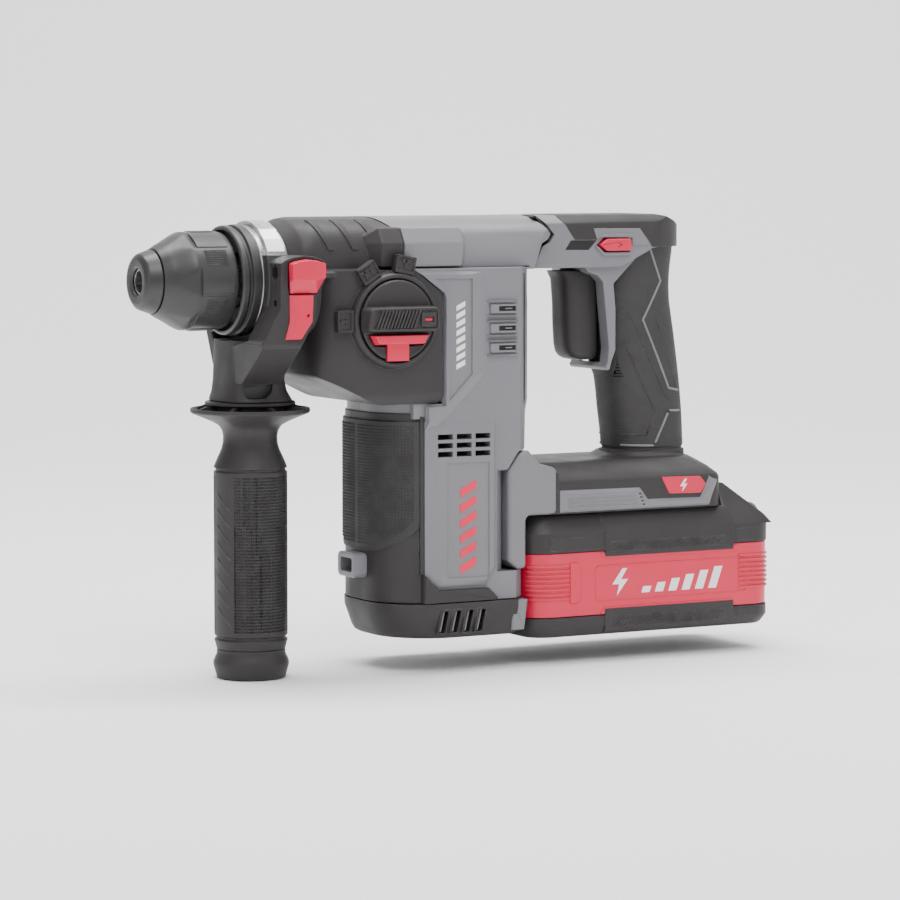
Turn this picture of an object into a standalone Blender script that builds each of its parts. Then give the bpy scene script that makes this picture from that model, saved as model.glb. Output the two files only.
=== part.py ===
"""Cordless rotary hammer with an upright motor, a side handle and a slide-on battery.

Lengths are in millimetres in the tool's own frame and become metres on the way into
Blender: X runs back from the chuck's nose along the spindle, Y to the tool's right as
seen by the user, Z up. The spindle's axis is y = 0, z = 0.
"""

import math

import bmesh
import bpy
from mathutils import Vector

MM = 0.001

# ---- Driving dimensions, millimetres ---------------------------------------
GAP = 0.3  # clearance between neighbouring pieces
WALL = 3.0  # plastic shells

# Spindle line
CHUCK_RADIUS = 22.6
SLEEVE_FRONT = 8.0
SLEEVE_REAR = 42.0
BIT_BORE = 5.15  # radius of the tool socket
SPINDLE_RADIUS = 15.0
SPINDLE_NECK = 12.0
SPINDLE_END = 140.0
CYLINDER_BORE = 11.8
PISTON_CLEARANCE = 0.4
SHIELD_RADIUS = 24.2
SHIELD_CLEARANCE = 0.6  # round the sliding sleeve
COLLAR_RADIUS = 25.5
COLLAR_FRONT = 52.0
COLLAR_REAR = 66.5

# Gear train
RING_TEETH = 24
BEVEL_TEETH = 8
BEVEL_MODULE = 1.75
SPUR_MODULE = 1.0
PINION_TEETH = 8
GEAR_TEETH = 28
BRACKET_UPRIGHT_HALF = 22.0
MOTOR_X = 145.0
STATOR_RADIUS = 27.0
CRANK_THROW = 8.0
ROD_LENGTH = 27.0
SPUR_LOW = -40.0
SPUR_FACE = 8.0

# Housings
TOP_Z = 28.9
BODY_HALF = 36.0
BAR_HALF = 29.0
GEARBOX_HALF = 35.0
GEARBOX_FRONT = 77.0
GEARBOX_FLOOR = -57.8
COLUMN_FRONT = 114.5
COLUMN_REAR = 175.7
COLUMN_CORNER = 27.0
BODY_REAR = 190.8
BASE_REAR = 186.3
CAP_TOP = -151.8
BASE_Z = -168.5

# Handle module
GRIP_HALF = 16.5
TOP_BAR_HALF = 21.0
FOOT_HALF = 33.0
GASKET_HALF = 19.5
FOOT_FLOOR = -113.0
FOOT_REAR = 297.5

# Battery
BATTERY_FRONT = 187.2
BATTERY_REAR = 326.0
BATTERY_HALF = 36.0
BATTERY_CORNER = 12.0
BATTERY_LOW = -172.0
RAIL_HALF = 22.0

# Side handle
SIDE_X = 57.5
SIDE_GRIP_RADIUS = 18.2
SIDE_FLANGE_RADIUS = 31.3
SIDE_END = -184.5
CLAMP_OUTER = 30.0

# Mode knob
KNOB_X = 114.2
KNOB_Z = -18.5
KNOB_RADIUS = 18.9
KNOB_FACE = -47.0  # outermost y of its grip bar

# ---- Worked-out sizes ------------------------------------------------------
PISTON_RADIUS = CYLINDER_BORE - PISTON_CLEARANCE
WRIST_PIN_HALF = PISTON_RADIUS - 1.8
RING_RADIUS = BEVEL_MODULE * RING_TEETH / 2
BEVEL_RADIUS = BEVEL_MODULE * BEVEL_TEETH / 2
SPUR_CENTRES = SPUR_MODULE * (PINION_TEETH + GEAR_TEETH) / 2
BEVEL_X = MOTOR_X - SPUR_CENTRES
CRANK_X = MOTOR_X + SPUR_CENTRES
CRANK_PIN_X = CRANK_X - CRANK_THROW
WRIST_X = CRANK_PIN_X - ROD_LENGTH
SPUR_HIGH = SPUR_LOW + SPUR_FACE
PLATE_TOP = SPUR_LOW - 4.0
PLATE_LOW = PLATE_TOP - 10.0
BRACKET_LOW = SPUR_HIGH + 3.0
BRACKET_TOP = BRACKET_LOW + 9.0
DISC_LOW = BRACKET_TOP + 3.0
DISC_TOP = DISC_LOW + 5.0

# The origin of the frame: the middle of the object's plan, at its lowest level.
ORIGIN = Vector((-BATTERY_REAR / 2, -(KNOB_FACE + BODY_HALF) / 2, -SIDE_END))

COLOURS = {
    "black_plastic": ((0.030, 0.029, 0.031), 0.55, 0.0),
    "grey_plastic": ((0.115, 0.112, 0.125), 0.50, 0.0),
    "rubber": ((0.020, 0.019, 0.020), 0.80, 0.0),
    "red_plastic": ((0.500, 0.020, 0.050), 0.40, 0.0),
    "steel": ((0.560, 0.570, 0.580), 0.30, 1.0),
    "dark_steel": ((0.130, 0.130, 0.140), 0.35, 1.0),
    "aluminium": ((0.600, 0.600, 0.610), 0.45, 1.0),
    "copper": ((0.700, 0.330, 0.180), 0.40, 1.0),
    "brass": ((0.650, 0.480, 0.200), 0.35, 1.0),
    "circuit": ((0.020, 0.120, 0.050), 0.50, 0.0),
    "cell": ((0.050, 0.180, 0.400), 0.40, 0.0),
    "indicator": ((0.250, 0.600, 0.060), 0.40, 0.0),
}


# ---- Shape helpers ---------------------------------------------------------
def clear_scene():
    for old in list(bpy.data.objects):
        bpy.data.objects.remove(old, do_unlink=True)


def finish(name):
    """The material of that name, made once."""
    found = bpy.data.materials.get(name)
    if found:
        return found
    colour, roughness, metallic = COLOURS[name]
    made = bpy.data.materials.new(name)
    made.use_nodes = True
    shader = made.node_tree.nodes["Principled BSDF"]
    shader.inputs["Base Color"].default_value = (*colour, 1.0)
    shader.inputs["Roughness"].default_value = roughness
    shader.inputs["Metallic"].default_value = metallic
    made.diffuse_color = (*colour, 1.0)
    return made


def loft(name, loops, material=None, pivot=(0, 0, 0), ring=False):
    """Skins loops of equally many points. A ring joins the last loop to the first;
    otherwise both ends are capped. With no material the object is a hidden cutter."""
    mesh = bmesh.new()
    pivot = Vector(pivot)
    rows = [[mesh.verts.new((Vector(p) - pivot) * MM) for p in loop] for loop in loops]
    count = len(rows[0])
    pairs = list(zip(rows, rows[1:]))
    if ring:
        pairs.append((rows[-1], rows[0]))
    for low, high in pairs:
        for i in range(count):
            j = (i + 1) % count
            mesh.faces.new((low[i], low[j], high[j], high[i]))
    if not ring:
        mesh.faces.new(rows[0])
        mesh.faces.new(rows[-1])
    bmesh.ops.recalc_face_normals(mesh, faces=mesh.faces)
    data = bpy.data.meshes.new(name)
    mesh.to_mesh(data)
    mesh.free()
    data.shade_smooth()
    data.set_sharp_from_angle(angle=math.radians(35))
    made = bpy.data.objects.new(name, data)
    made.location = (pivot + ORIGIN) * MM
    bpy.context.scene.collection.objects.link(made)
    if material:
        data.materials.append(finish(material))
    else:
        made.hide_render = True
        made.display_type = "WIRE"
    return made


def circle(axis, centre, radius, count=20):
    """Points round an axis, "X", "Y" or "Z", through centre."""
    points = []
    for i in range(count):
        angle = 2 * math.pi * i / count
        a = radius * math.cos(angle)
        b = radius * math.sin(angle)
        offset = {"X": (0, a, b), "Y": (b, 0, a), "Z": (a, b, 0)}[axis]
        points.append(Vector(centre) + Vector(offset))
    return points


def along(axis, centre, distance):
    """The point of an axis at a coordinate along it."""
    point = list(centre)
    point["XYZ".index(axis)] = distance
    return point


def turned(name, axis, centre, profile, material=None, ring=False, count=20, pivot=None):
    """A turned piece. The profile is (distance along the axis, radius) pairs."""
    loops = [circle(axis, along(axis, centre, d), r, count) for d, r in profile]
    return loft(name, loops, material, pivot or centre, ring)


def prism(name, outline, low, high, material=None, pivot=(0, 0, 0)):
    """An (x, z) outline pushed along Y from low to high."""
    loops = [[(x, y, z) for x, z in outline] for y in (low, high)]
    return loft(name, loops, material, pivot)


def plan(name, outline, low, high, material=None, pivot=(0, 0, 0)):
    """An (x, y) outline pushed along Z from low to high."""
    loops = [[(x, y, z) for x, y in outline] for z in (low, high)]
    return loft(name, loops, material, pivot)


def box(name, low, high, material=None, pivot=(0, 0, 0)):
    """A block between two opposite corners."""
    outline = [(low[0], low[1]), (high[0], low[1]), (high[0], high[1]), (low[0], high[1])]
    return plan(name, outline, low[2], high[2], material, pivot)


def inset(outline, distance):
    """The outline moved inwards by distance, with mitred corners."""
    points = [Vector(p) for p in outline]
    count = len(points)
    area = sum(points[i - 1].x * points[i].y - points[i].x * points[i - 1].y for i in range(count))
    side = 1 if area > 0 else -1
    moved = []
    for i in range(count):
        before = (points[i] - points[i - 1]).normalized()
        after = (points[(i + 1) % count] - points[i]).normalized()
        normal_a = Vector((-before.y, before.x)) * side
        normal_b = Vector((-after.y, after.x)) * side
        shift = (normal_a + normal_b) * distance / (1 + normal_a.dot(normal_b))
        moved.append(tuple(points[i] + shift))
    return moved


def round_corner(centre, radius, start, end, steps=5):
    """Points on an arc from start to end, in degrees."""
    points = []
    for i in range(steps + 1):
        angle = math.radians(start + (end - start) * i / steps)
        points.append((centre[0] + radius * math.cos(angle), centre[1] + radius * math.sin(angle)))
    return points


def rounded_box(x0, x1, y0, y1, radius, steps=3):
    """An upright rectangle's plan with four round corners."""
    points = []
    for x, y, start in (
        (x1 - radius, y1 - radius, 0),
        (x0 + radius, y1 - radius, 90),
        (x0 + radius, y0 + radius, 180),
        (x1 - radius, y0 + radius, 270),
    ):
        points += round_corner((x, y), radius, start, start + 90, steps)
    return points


def boolean(target, other, operation):
    step = target.modifiers.new(operation.lower() + "_" + other.name, "BOOLEAN")
    step.operation = operation
    step.object = other
    step.solver = "EXACT"
    other.hide_render = True
    other.display_type = "WIRE"


def cut(target, *cutters):
    for cutter in cutters:
        boolean(target, cutter, "DIFFERENCE")


def join(target, *others):
    for other in others:
        boolean(target, other, "UNION")


def soften(target, width, segments=1):
    """Rounds the edges sharper than 40 degrees."""
    step = target.modifiers.new("soften", "BEVEL")
    step.width = width * MM
    step.segments = segments
    step.limit_method = "ANGLE"
    step.angle_limit = math.radians(40)
    return target


def tooth_profile(teeth, phase=0.0):
    """(angle, height) of each corner round a gear, where height is 1 at a tip and -1 at a root."""
    pitch = 2 * math.pi / teeth
    corners = []
    for i in range(teeth):
        middle = phase + i * pitch
        for share, height in ((-0.23, -1), (-0.09, 1), (0.09, 1), (0.23, -1)):
            corners.append((middle + share * pitch, height))
    return corners


ADDENDUM = 0.75
DEDENDUM = 1.1


def spur_gear(name, x, teeth, bore, material, phase=0.0, pivot=None, low=SPUR_LOW, high=SPUR_HIGH):
    """A spur gear on a vertical axis. With no bore it is solid."""
    pitch_radius = SPUR_MODULE * teeth / 2
    corners = tooth_profile(teeth, phase)
    outer = []
    inner = []
    for angle, height in corners:
        radius = pitch_radius + SPUR_MODULE * (ADDENDUM if height > 0 else -DEDENDUM)
        outer.append((x + radius * math.cos(angle), radius * math.sin(angle)))
        inner.append((x + bore * math.cos(angle), bore * math.sin(angle)))
    loops = [[(a, b, z) for a, b in outer] for z in (low, high)]
    if bore:
        loops += [[(a, b, z) for a, b in inner] for z in (high, low)]
    return loft(name, loops, material, pivot or (x, 0, 0), ring=bool(bore))


CONE_LENGTH = math.hypot(RING_RADIUS, BEVEL_RADIUS)
BEVEL_FACE = 5.0


def bevel_teeth(teeth, phase, share):
    """(angle, radius, distance from the apex along the gear's own axis) of each tooth corner, on
    the cone that is share of the full size."""
    own = BEVEL_MODULE * teeth / 2
    sine = own / CONE_LENGTH
    cosine = math.sqrt(1 - sine * sine)
    corners = []
    for angle, height in tooth_profile(teeth, phase):
        out = BEVEL_MODULE * share * (ADDENDUM if height > 0 else -DEDENDUM)
        radius = CONE_LENGTH * share * sine + out * cosine
        distance = CONE_LENGTH * share * cosine - out * sine
        corners.append((angle, radius, distance))
    return corners


# ---- Chuck and spindle -----------------------------------------------------
def make_chuck():
    nose = [(0, 5.6), (0, 11.5), (1.5, 12.7), (7.6, 14.9), (7.6, 9.2), (1.7, 9.2), (1.7, 5.6)]
    turned("nose_cap", "X", (0, 0, 0), nose, "rubber", ring=True)
    sleeve = [
        (SLEEVE_FRONT, SPINDLE_NECK - 1.1),
        (SLEEVE_FRONT, 15.2),
        (21.2, CHUCK_RADIUS),
        (38.5, CHUCK_RADIUS),
        (40.6, CHUCK_RADIUS - 1.0),
        (SLEEVE_REAR, CHUCK_RADIUS - 3.0),
        (SLEEVE_REAR, 15.5),
        (26.0, 15.5),
        (26.0, 11.75),
        (17.5, 11.75),
        (17.5, 13.6),
        (11.0, 13.6),
        (11.0, SPINDLE_NECK - 1.1),
    ]
    turned("chuck_sleeve", "X", (0, 0, 0), sleeve, "rubber", ring=True, count=24)
    shield = [
        (43.4, CHUCK_RADIUS + SHIELD_CLEARANCE),
        (43.4, SHIELD_RADIUS),
        (COLLAR_FRONT - GAP, SHIELD_RADIUS),
        (COLLAR_FRONT - GAP, SPINDLE_NECK + 0.5),
        (50.0, SPINDLE_NECK + 0.5),
        (50.0, CHUCK_RADIUS + SHIELD_CLEARANCE),
    ]
    turned("dust_shield", "X", (0, 0, 0), shield, "rubber", ring=True, count=24)
    make_spring()
    for name, side in (("locking_ball_upper", 1), ("locking_ball_lower", -1)):
        make_ball(name, (24.0, 0, side * 8.25), 3.2)


def make_spring():
    """Four turns of wire between the sleeve's shoulder and the spindle's flange."""
    turns = 4
    steps = 10
    wire = 0.8
    coil = 13.6
    first = 26.3 + wire
    last = 39.7 - wire
    loops = []
    for i in range(turns * steps + 1):
        angle = 2 * math.pi * i / steps
        middle_x = first + (last - first) * i / (turns * steps)
        out = Vector((0, math.cos(angle), math.sin(angle)))
        centre = Vector((middle_x, 0, 0)) + out * coil
        section = []
        for k in range(5):
            turn = 2 * math.pi * k / 5
            section.append(centre + out * wire * math.cos(turn) + Vector((wire * math.sin(turn), 0, 0)))
        loops.append(section)
    loft("chuck_spring", loops, "steel")


def make_ball(name, centre, radius):
    """A steel ball, turned about Z from rings of latitude."""
    profile = []
    for i in range(1, 8):
        angle = math.pi * i / 8
        profile.append((centre[2] - radius * math.cos(angle), radius * math.sin(angle)))
    turned(name, "Z", centre, profile, "steel", count=12)


def make_spindle():
    outline = [
        (2.0, BIT_BORE),
        (2.0, 8.9),
        (9.0, 8.9),
        (9.0, SPINDLE_NECK - 1.5),
        (40.0, SPINDLE_NECK - 1.5),
        (40.0, SPINDLE_RADIUS),
        (41.6, SPINDLE_RADIUS),
        (41.6, SPINDLE_NECK),
        (66.0, SPINDLE_NECK),
        (66.0, SPINDLE_RADIUS),
        (SPINDLE_END, SPINDLE_RADIUS),
        (SPINDLE_END, CYLINDER_BORE),
        (84.0, CYLINDER_BORE),
        (84.0, 9.3),
        (72.0, 9.3),
        (72.0, 6.8),
        (50.0, 6.8),
        (50.0, BIT_BORE),
    ]
    spindle = turned("spindle", "X", (0, 0, 0), outline, "steel", ring=True)
    cut(spindle, turned("cut_ball_window", "Z", (24.0, 0, 0), [(-14, 3.5), (14, 3.5)], count=16))

    bolt = [(46.0, 4.7), (54.3, 4.7), (54.3, 6.5), (76.0, 6.5), (76.0, 8.9), (82.0, 8.9)]
    turned("impact_bolt", "X", (0, 0, 0), bolt, "dark_steel", count=24)
    striker = [(84.4, 5.0), (92.0, 5.0), (92.0, PISTON_RADIUS), (108.0, PISTON_RADIUS)]
    turned("striker", "X", (0, 0, 0), striker, "dark_steel", count=28)
    front = WRIST_X - 14.0
    rear = WRIST_X + 6.0
    piston = turned("piston", "X", (0, 0, 0), [(front, PISTON_RADIUS), (rear, PISTON_RADIUS)], "aluminium")
    slot = box("cut_rod_slot", (WRIST_X - 6.5, -PISTON_RADIUS + 2.9, -3.1), (rear + 2, PISTON_RADIUS - 2.9, 3.1))
    cross = turned("cut_wrist_bore", "Z", (WRIST_X, 0, 0), [(-13, 2.8), (13, 2.8)], count=20)
    cut(piston, slot, cross)
    turned("wrist_pin", "Z", (WRIST_X, 0, 0), [(-WRIST_PIN_HALF, 2.5), (WRIST_PIN_HALF, 2.5)], "steel", count=20)

    thick = 2.7
    rod = turned("connecting_rod", "Z", (WRIST_X, 0, 0), [(-thick, 5.0), (thick, 5.0)], "dark_steel", count=20)
    big_end = turned("rod_big_end", "Z", (CRANK_PIN_X, 0, 0), [(-thick, 6.5), (thick, 6.5)], count=20)
    shank = box("rod_shank", (WRIST_X + 1, -3.2, -thick + 0.3), (CRANK_PIN_X - 1, 3.2, thick - 0.3))
    eye = turned("cut_rod_eye", "Z", (WRIST_X, 0, 0), [(-4, 2.8), (4, 2.8)], count=20)
    join(rod, big_end, shank)
    cut(rod, eye)


# ---- Gears, crank and bearings ---------------------------------------------
def ring(name, axis, centre, low, high, inner, outer, material, count=20):
    profile = [(low, inner), (low, outer), (high, outer), (high, inner)]
    return turned(name, axis, centre, profile, material, ring=True, count=count)


def make_gears():
    toe = 1 - BEVEL_FACE / CONE_LENGTH
    gap_down = -math.pi / 2 + math.pi / RING_TEETH
    rows = []
    for share in (1.0, toe):
        row = []
        for angle, radius, distance in bevel_teeth(RING_TEETH, gap_down, share):
            row.append((BEVEL_X - distance, radius * math.cos(angle), radius * math.sin(angle)))
        rows.append(row)
    angles = [corner[0] for corner in tooth_profile(RING_TEETH, gap_down)]
    bore = SPINDLE_RADIUS + GAP
    hub = BEVEL_X - BEVEL_RADIUS - 9.0
    for x, radius in ((BEVEL_X - BEVEL_RADIUS + 1.0, bore), (hub, bore), (hub, RING_RADIUS - 2.0)):
        rows.append([(x, radius * math.cos(a), radius * math.sin(a)) for a in angles])
    loft("ring_bevel_gear", rows, "dark_steel", ring=True)

    rows = []
    angles = [corner[0] for corner in tooth_profile(BEVEL_TEETH)]
    for z, radius in ((PLATE_LOW + 3.0, 4.0), (-RING_RADIUS - 4.0, 4.0), (-RING_RADIUS - 3.5, 6.0)):
        rows.append([(BEVEL_X + radius * math.cos(a), radius * math.sin(a), z) for a in angles])
    for share in (1.0, toe):
        row = []
        for angle, radius, distance in bevel_teeth(BEVEL_TEETH, 0.0, share):
            row.append((BEVEL_X + radius * math.cos(angle), radius * math.sin(angle), -distance))
        rows.append(row)
    loft("bevel_pinion_shaft", rows, "dark_steel", pivot=(BEVEL_X, 0, 0))
    half_pitch = math.pi / GEAR_TEETH
    spur_gear("intermediate_gear", BEVEL_X, GEAR_TEETH, 4.0 + GAP, "steel", half_pitch)
    spur_gear("motor_pinion", MOTOR_X, PINION_TEETH, 1.8, "steel", 0.0)

    crank = spur_gear("crank_gear", CRANK_X, GEAR_TEETH, 0, "steel", half_pitch)
    stem = [(PLATE_TOP - 3.0, 4.0), (SPUR_LOW + 1, 4.0)]
    stem = turned("crank_stub", "Z", (CRANK_X, 0, 0), stem, count=20)
    shaft = [(SPUR_HIGH - 1, 5.0), (DISC_LOW, 5.0), (DISC_LOW, 13.0), (DISC_TOP, 13.0)]
    shaft = turned("crank_shaft", "Z", (CRANK_X, 0, 0), shaft, count=24)
    pin = turned("crank_pin", "Z", (CRANK_PIN_X, 0, 0), [(DISC_TOP - 1, 3.5), (-3.0, 3.5)], count=16)
    join(crank, stem, shaft, pin)

    ring("crank_bearing", "Z", (CRANK_X, 0, 0), BRACKET_LOW + 0.5, BRACKET_TOP - 0.5, 5.3, 11.0, "steel")
    ring("motor_upper_bearing", "Z", (MOTOR_X, 0, 0), PLATE_LOW + 1, PLATE_TOP - 1, 4.3, 8.0, "steel", 24)
    ring("motor_lower_bearing", "Z", (MOTOR_X, 0, 0), BASE_Z + 8, BASE_Z + 14, 4.3, 8.0, "steel", 24)
    ring("spindle_front_bearing", "X", (0, 0, 0), 57.2, 65.2, SPINDLE_NECK + GAP, 20.0, "steel")
    ring("spindle_rear_bearing", "X", (0, 0, 0), 130.5 + 5.8, 141.8, SPINDLE_RADIUS + GAP, 18.0, "brass")
    ring("front_seal", "X", (0, 0, 0), 52.6, 56.6, SPINDLE_NECK + GAP, 19.9, "rubber")

    make_gear_plate()
    make_bearing_bracket()


def make_gear_plate():
    """The wall between gearbox and motor, with the lower bearing seats."""
    outline = rounded_box(BEVEL_X - 15, BODY_REAR - 12, -28.5, 28.5, 6)
    plate = plan("gear_plate", outline, PLATE_LOW, PLATE_TOP, "aluminium")
    cut(
        plate,
        turned("cut_motor_seat", "Z", (MOTOR_X, 0, 0), [(PLATE_LOW - 1, 8.3), (PLATE_TOP + 1, 8.3)], count=24),
        turned("cut_bevel_seat", "Z", (BEVEL_X, 0, 0), [(PLATE_LOW + 2.5, 4.3), (PLATE_TOP + 1, 4.3)], count=24),
        turned("cut_crank_seat", "Z", (CRANK_X, 0, 0), [(PLATE_TOP - 3.4, 4.3), (PLATE_TOP + 1, 4.3)], count=20),
    )


def make_bearing_bracket():
    """The casting that carries the crank's bearing and the spindle's rear bush."""
    deck = rounded_box(143.0, BODY_REAR - 12, -29, 29, 5)
    bracket = plan("bearing_bracket", deck, BRACKET_LOW, BRACKET_TOP, "aluminium")
    upright_top = BRACKET_UPRIGHT_HALF - GAP
    upright = box(
        "bracket_upright",
        (136.0, -BRACKET_UPRIGHT_HALF, BRACKET_LOW),
        (143.5, BRACKET_UPRIGHT_HALF, upright_top),
    )
    join(bracket, upright)
    cut(
        bracket,
        turned("cut_spindle_seat", "X", (0, 0, 0), [(130, 18.3), (150, 18.3)], count=28),
        turned("cut_crank_bearing", "Z", (CRANK_X, 0, 0), [(BRACKET_LOW - 1, 11.3), (BRACKET_TOP + 1, 11.3)]),
    )


def make_motor():
    centre = (MOTOR_X, 0, 0)
    shaft = [(BASE_Z + 7.5, 4.0), (-136, 4.0), (-136, 14.0), (-90, 14.0), (-90, 4.0)]
    shaft += [(SPUR_LOW - 1.5, 4.0), (SPUR_LOW - 1.5, 1.5), (SPUR_HIGH, 1.5)]
    turned("motor_rotor", "Z", centre, shaft, "dark_steel", count=24)
    stator = ring("motor_stator", "Z", centre, -134, -88, 14.8, STATOR_RADIUS, "copper", 24)
    for i in range(6):
        angle = math.radians(60 * i + 7)
        groove = (MOTOR_X + 21.5 * math.cos(angle), 21.5 * math.sin(angle), 0)
        cut(stator, turned(f"cut_coil_{i}", "Z", groove, [(-140, 3.2), (-80, 3.2)], count=8))
    fan = ring("motor_fan", "Z", centre, -148.5, -146.0, 4.3, 23.5, "black_plastic")
    for i in range(9):
        angle = 40 * i
        blade = prism(f"fan_blade_{i}", [(8, -146.5), (23, -146.5), (22, -139.5), (9, -139.5)], -0.8, 0.8)
        blade.location = (Vector((MOTOR_X, 0, 0)) + ORIGIN) * MM
        blade.rotation_euler = (0, 0, math.radians(angle))
        join(fan, blade)


# ---- Housings --------------------------------------------------------------
SPLIT = 0.15  # each half shell stops this far from the tool's middle plane
PAST_SPLIT = 10.0  # shells are built this far past the middle plane, then cut back


def gearbox_outline():
    return [
        (GEARBOX_FRONT, TOP_Z - 0.4),
        (113.0, TOP_Z - 0.4),
        (120.3, 23.0),
        (119.8, 8.9),
        (124.6, 5.0),
        (139.5, -6.3),
        (140.1, -8.5),
        (140.1, GEARBOX_FLOOR),
        (106.0, GEARBOX_FLOOR),
        (GEARBOX_FRONT, -43.5),
    ]


def make_gearbox():
    body = prism("gear_housing", gearbox_outline(), -GEARBOX_HALF, GEARBOX_HALF, "black_plastic")
    soften(body, 6.0, 2)
    barrel = [(COLLAR_FRONT, 22.0), (COLLAR_REAR + GAP, 22.0), (COLLAR_REAR + GAP, 25.3)]
    barrel += [(GEARBOX_FRONT - 3, 28.0), (GEARBOX_FRONT + 8, 28.0)]
    join(body, turned("gearbox_barrel", "X", (0, 0, 0), barrel))
    face = -GEARBOX_HALF
    bezel = ring(
        "mode_bezel", "Y", (KNOB_X, 0, KNOB_Z), face - 3.9, face + 2, KNOB_RADIUS + 0.4, KNOB_RADIUS + 4.9, None, 24
    )
    join(body, bezel)
    room = [(107, 24), (145, 24), (145, -54.5), (110, -54.5), (107, -50)]
    cut(
        body,
        prism("cut_gear_room", room, -30.5, 30.5),
        turned("cut_spindle_tunnel", "X", (0, 0, 0), [(60, 16.0), (110, 16.0)]),
        turned("cut_front_seat", "X", (0, 0, 0), [(50, 20.3), (65.5, 20.3)]),
        turned("cut_knob_bore", "Y", (KNOB_X, 0, KNOB_Z), [(-40, 6.3), (-28, 6.3)], count=20),
    )
    ring("front_collar", "X", (0, 0, 0), COLLAR_FRONT, COLLAR_REAR, 22.0 + GAP, COLLAR_RADIUS, "steel", 24)


def half_prism(name, outline, half, side, material=None):
    """A prism on one side of the split plane and a little past it; side is -1 for the left."""
    return prism(name, outline, side * half, -side * PAST_SPLIT, material)


def cut_at_split(shell, tag, side):
    """Removes what the shell has past the split plane."""
    near, far = sorted((side * SPLIT, -side * 3 * PAST_SPLIT))
    cut(shell, box(f"cut_split_{tag}", (90, near, -190), (340, far, 50)))


def half_plan(name, outline, low, high, side, material=None):
    """The left outline, or its mirror image, pushed along Z."""
    points = [(x, y * -side) for x, y in outline]
    return plan(name, points, low, high, material)


def column_outline(front, rear, half, corner, middle):
    """Left half of the motor column's plan, with one large round corner."""
    points = [(rear, middle), (rear, -half + 6), (rear - 6, -half)]
    points += round_corner((front + corner, -half + corner), corner, 270, 180)
    points.append((front, middle))
    return points


def body_outline():
    return [
        (125.2, 5.4),
        (193.8, 5.4),
        (BODY_REAR, -3.0),
        (BODY_REAR, -58.0),
        (BODY_REAR - 2.6, -63.0),
        (BODY_REAR - 3.5, -81.3),
        (182.4, -81.6),
        (COLUMN_REAR + 0.2, -90.7),
        (150.0, -90.7),
        (150.0, GEARBOX_FLOOR - 0.4),
        (140.5, GEARBOX_FLOOR - 0.4),
        (140.5, -8.4),
        (139.9, -6.0),
    ]


def bar_outline():
    return [
        (113.6, TOP_Z),
        (196.9, TOP_Z),
        (204.9, 19.8),
        (202.8, 17.3),
        (198.6, 15.6),
        (193.3, 3.7),
        (127.2, 3.7),
        (120.2, 9.2),
        (120.7, 23.2),
    ]


def make_housing(side, name):
    """One half of the motor and gearbox shell."""
    tag = "left" if side < 0 else "right"
    shell = half_plan(
        name,
        column_outline(COLUMN_FRONT, COLUMN_REAR, BODY_HALF, COLUMN_CORNER, PAST_SPLIT),
        -140.0,
        GEARBOX_FLOOR - 0.4,
        side,
        "grey_plastic",
    )
    base = column_outline(COLUMN_FRONT, BASE_REAR, BODY_HALF, COLUMN_CORNER, PAST_SPLIT)
    base = half_plan(f"shell_base_{tag}", base, CAP_TOP + GAP, -138.4, side)
    body = half_prism(f"shell_body_{tag}", body_outline(), BODY_HALF, side)
    soften(body, 4.0)
    bar = half_prism(f"shell_bar_{tag}", bar_outline(), BAR_HALF, side)
    join(shell, base, body, bar)

    inner = COLUMN_CORNER - WALL
    room_edge = PAST_SPLIT + 1
    past = -side * room_edge
    column_room = column_outline(COLUMN_FRONT + WALL, COLUMN_REAR - WALL, BODY_HALF - WALL, inner, room_edge)
    base_room = column_outline(COLUMN_FRONT + WALL, BASE_REAR - WALL, BODY_HALF - WALL, inner, room_edge)
    gear_room = inset(gearbox_outline(), -4.5)
    cut(
        shell,
        half_plan(f"cut_column_room_{tag}", column_room, CAP_TOP - 1, GEARBOX_FLOOR + 2, side),
        half_plan(f"cut_base_room_{tag}", base_room, CAP_TOP - 1, -141.4, side),
        prism(f"cut_body_room_{tag}", body_room(), side * (BODY_HALF - WALL), past),
        prism(f"cut_bar_room_{tag}", bar_room(), side * (BAR_HALF - WALL), past),
        prism(f"cut_gear_window_{tag}", gear_room, side * (BAR_HALF - WALL), past),
    )
    vents = []
    for column in range(3):
        for row in range(3):
            x = 137.0 + 10.0 * column
            z = -74.9 - 4.05 * row
            low, high = sorted((side * (BODY_HALF - WALL - 1), side * (BODY_HALF + 1)))
            vents.append(box(f"cut_vent_{tag}_{column}_{row}", (x, low, z), (x + 8.0, high, z + 2.5)))
    cut(shell, *vents)
    cut_gasket(shell, f"housing_{tag}", side)
    cut_at_split(shell, f"housing_{tag}", side)
    for i, (x, z, half) in enumerate(HOUSING_SCREWS):
        screw_station(shell, f"{tag}_{i}", x, z, half, side)


def body_room():
    """The hollow of the body, which opens downwards into the motor column."""
    rear = BODY_REAR - WALL
    return [
        (126.0, 5.4 - WALL),
        (189.5, 5.4 - WALL),
        (rear, -4.0),
        (rear, -57.5),
        (rear - 2.6, -62.0),
        (rear - 3.4, -78.4),
        (180.8, -78.6),
        (COLUMN_REAR - WALL, -89.7),
        (150.0, -93.0),
        (150.0, -62.0),
        (126.0, -62.0),
    ]


def bar_room():
    """The hollow of the top bar, which opens downwards into the body."""
    return [
        (124.5, TOP_Z - WALL),
        (195.0, TOP_Z - WALL),
        (200.2, 20.2),
        (189.0, 0.0),
        (130.0, 0.0),
        (124.0, 9.5),
    ]


HOUSING_SCREWS = ((184.0, 16.0, BAR_HALF), (179.5, -145.0, BODY_HALF))
HANDLE_SCREWS = ((267.0, -80.0, GRIP_HALF),)


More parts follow.
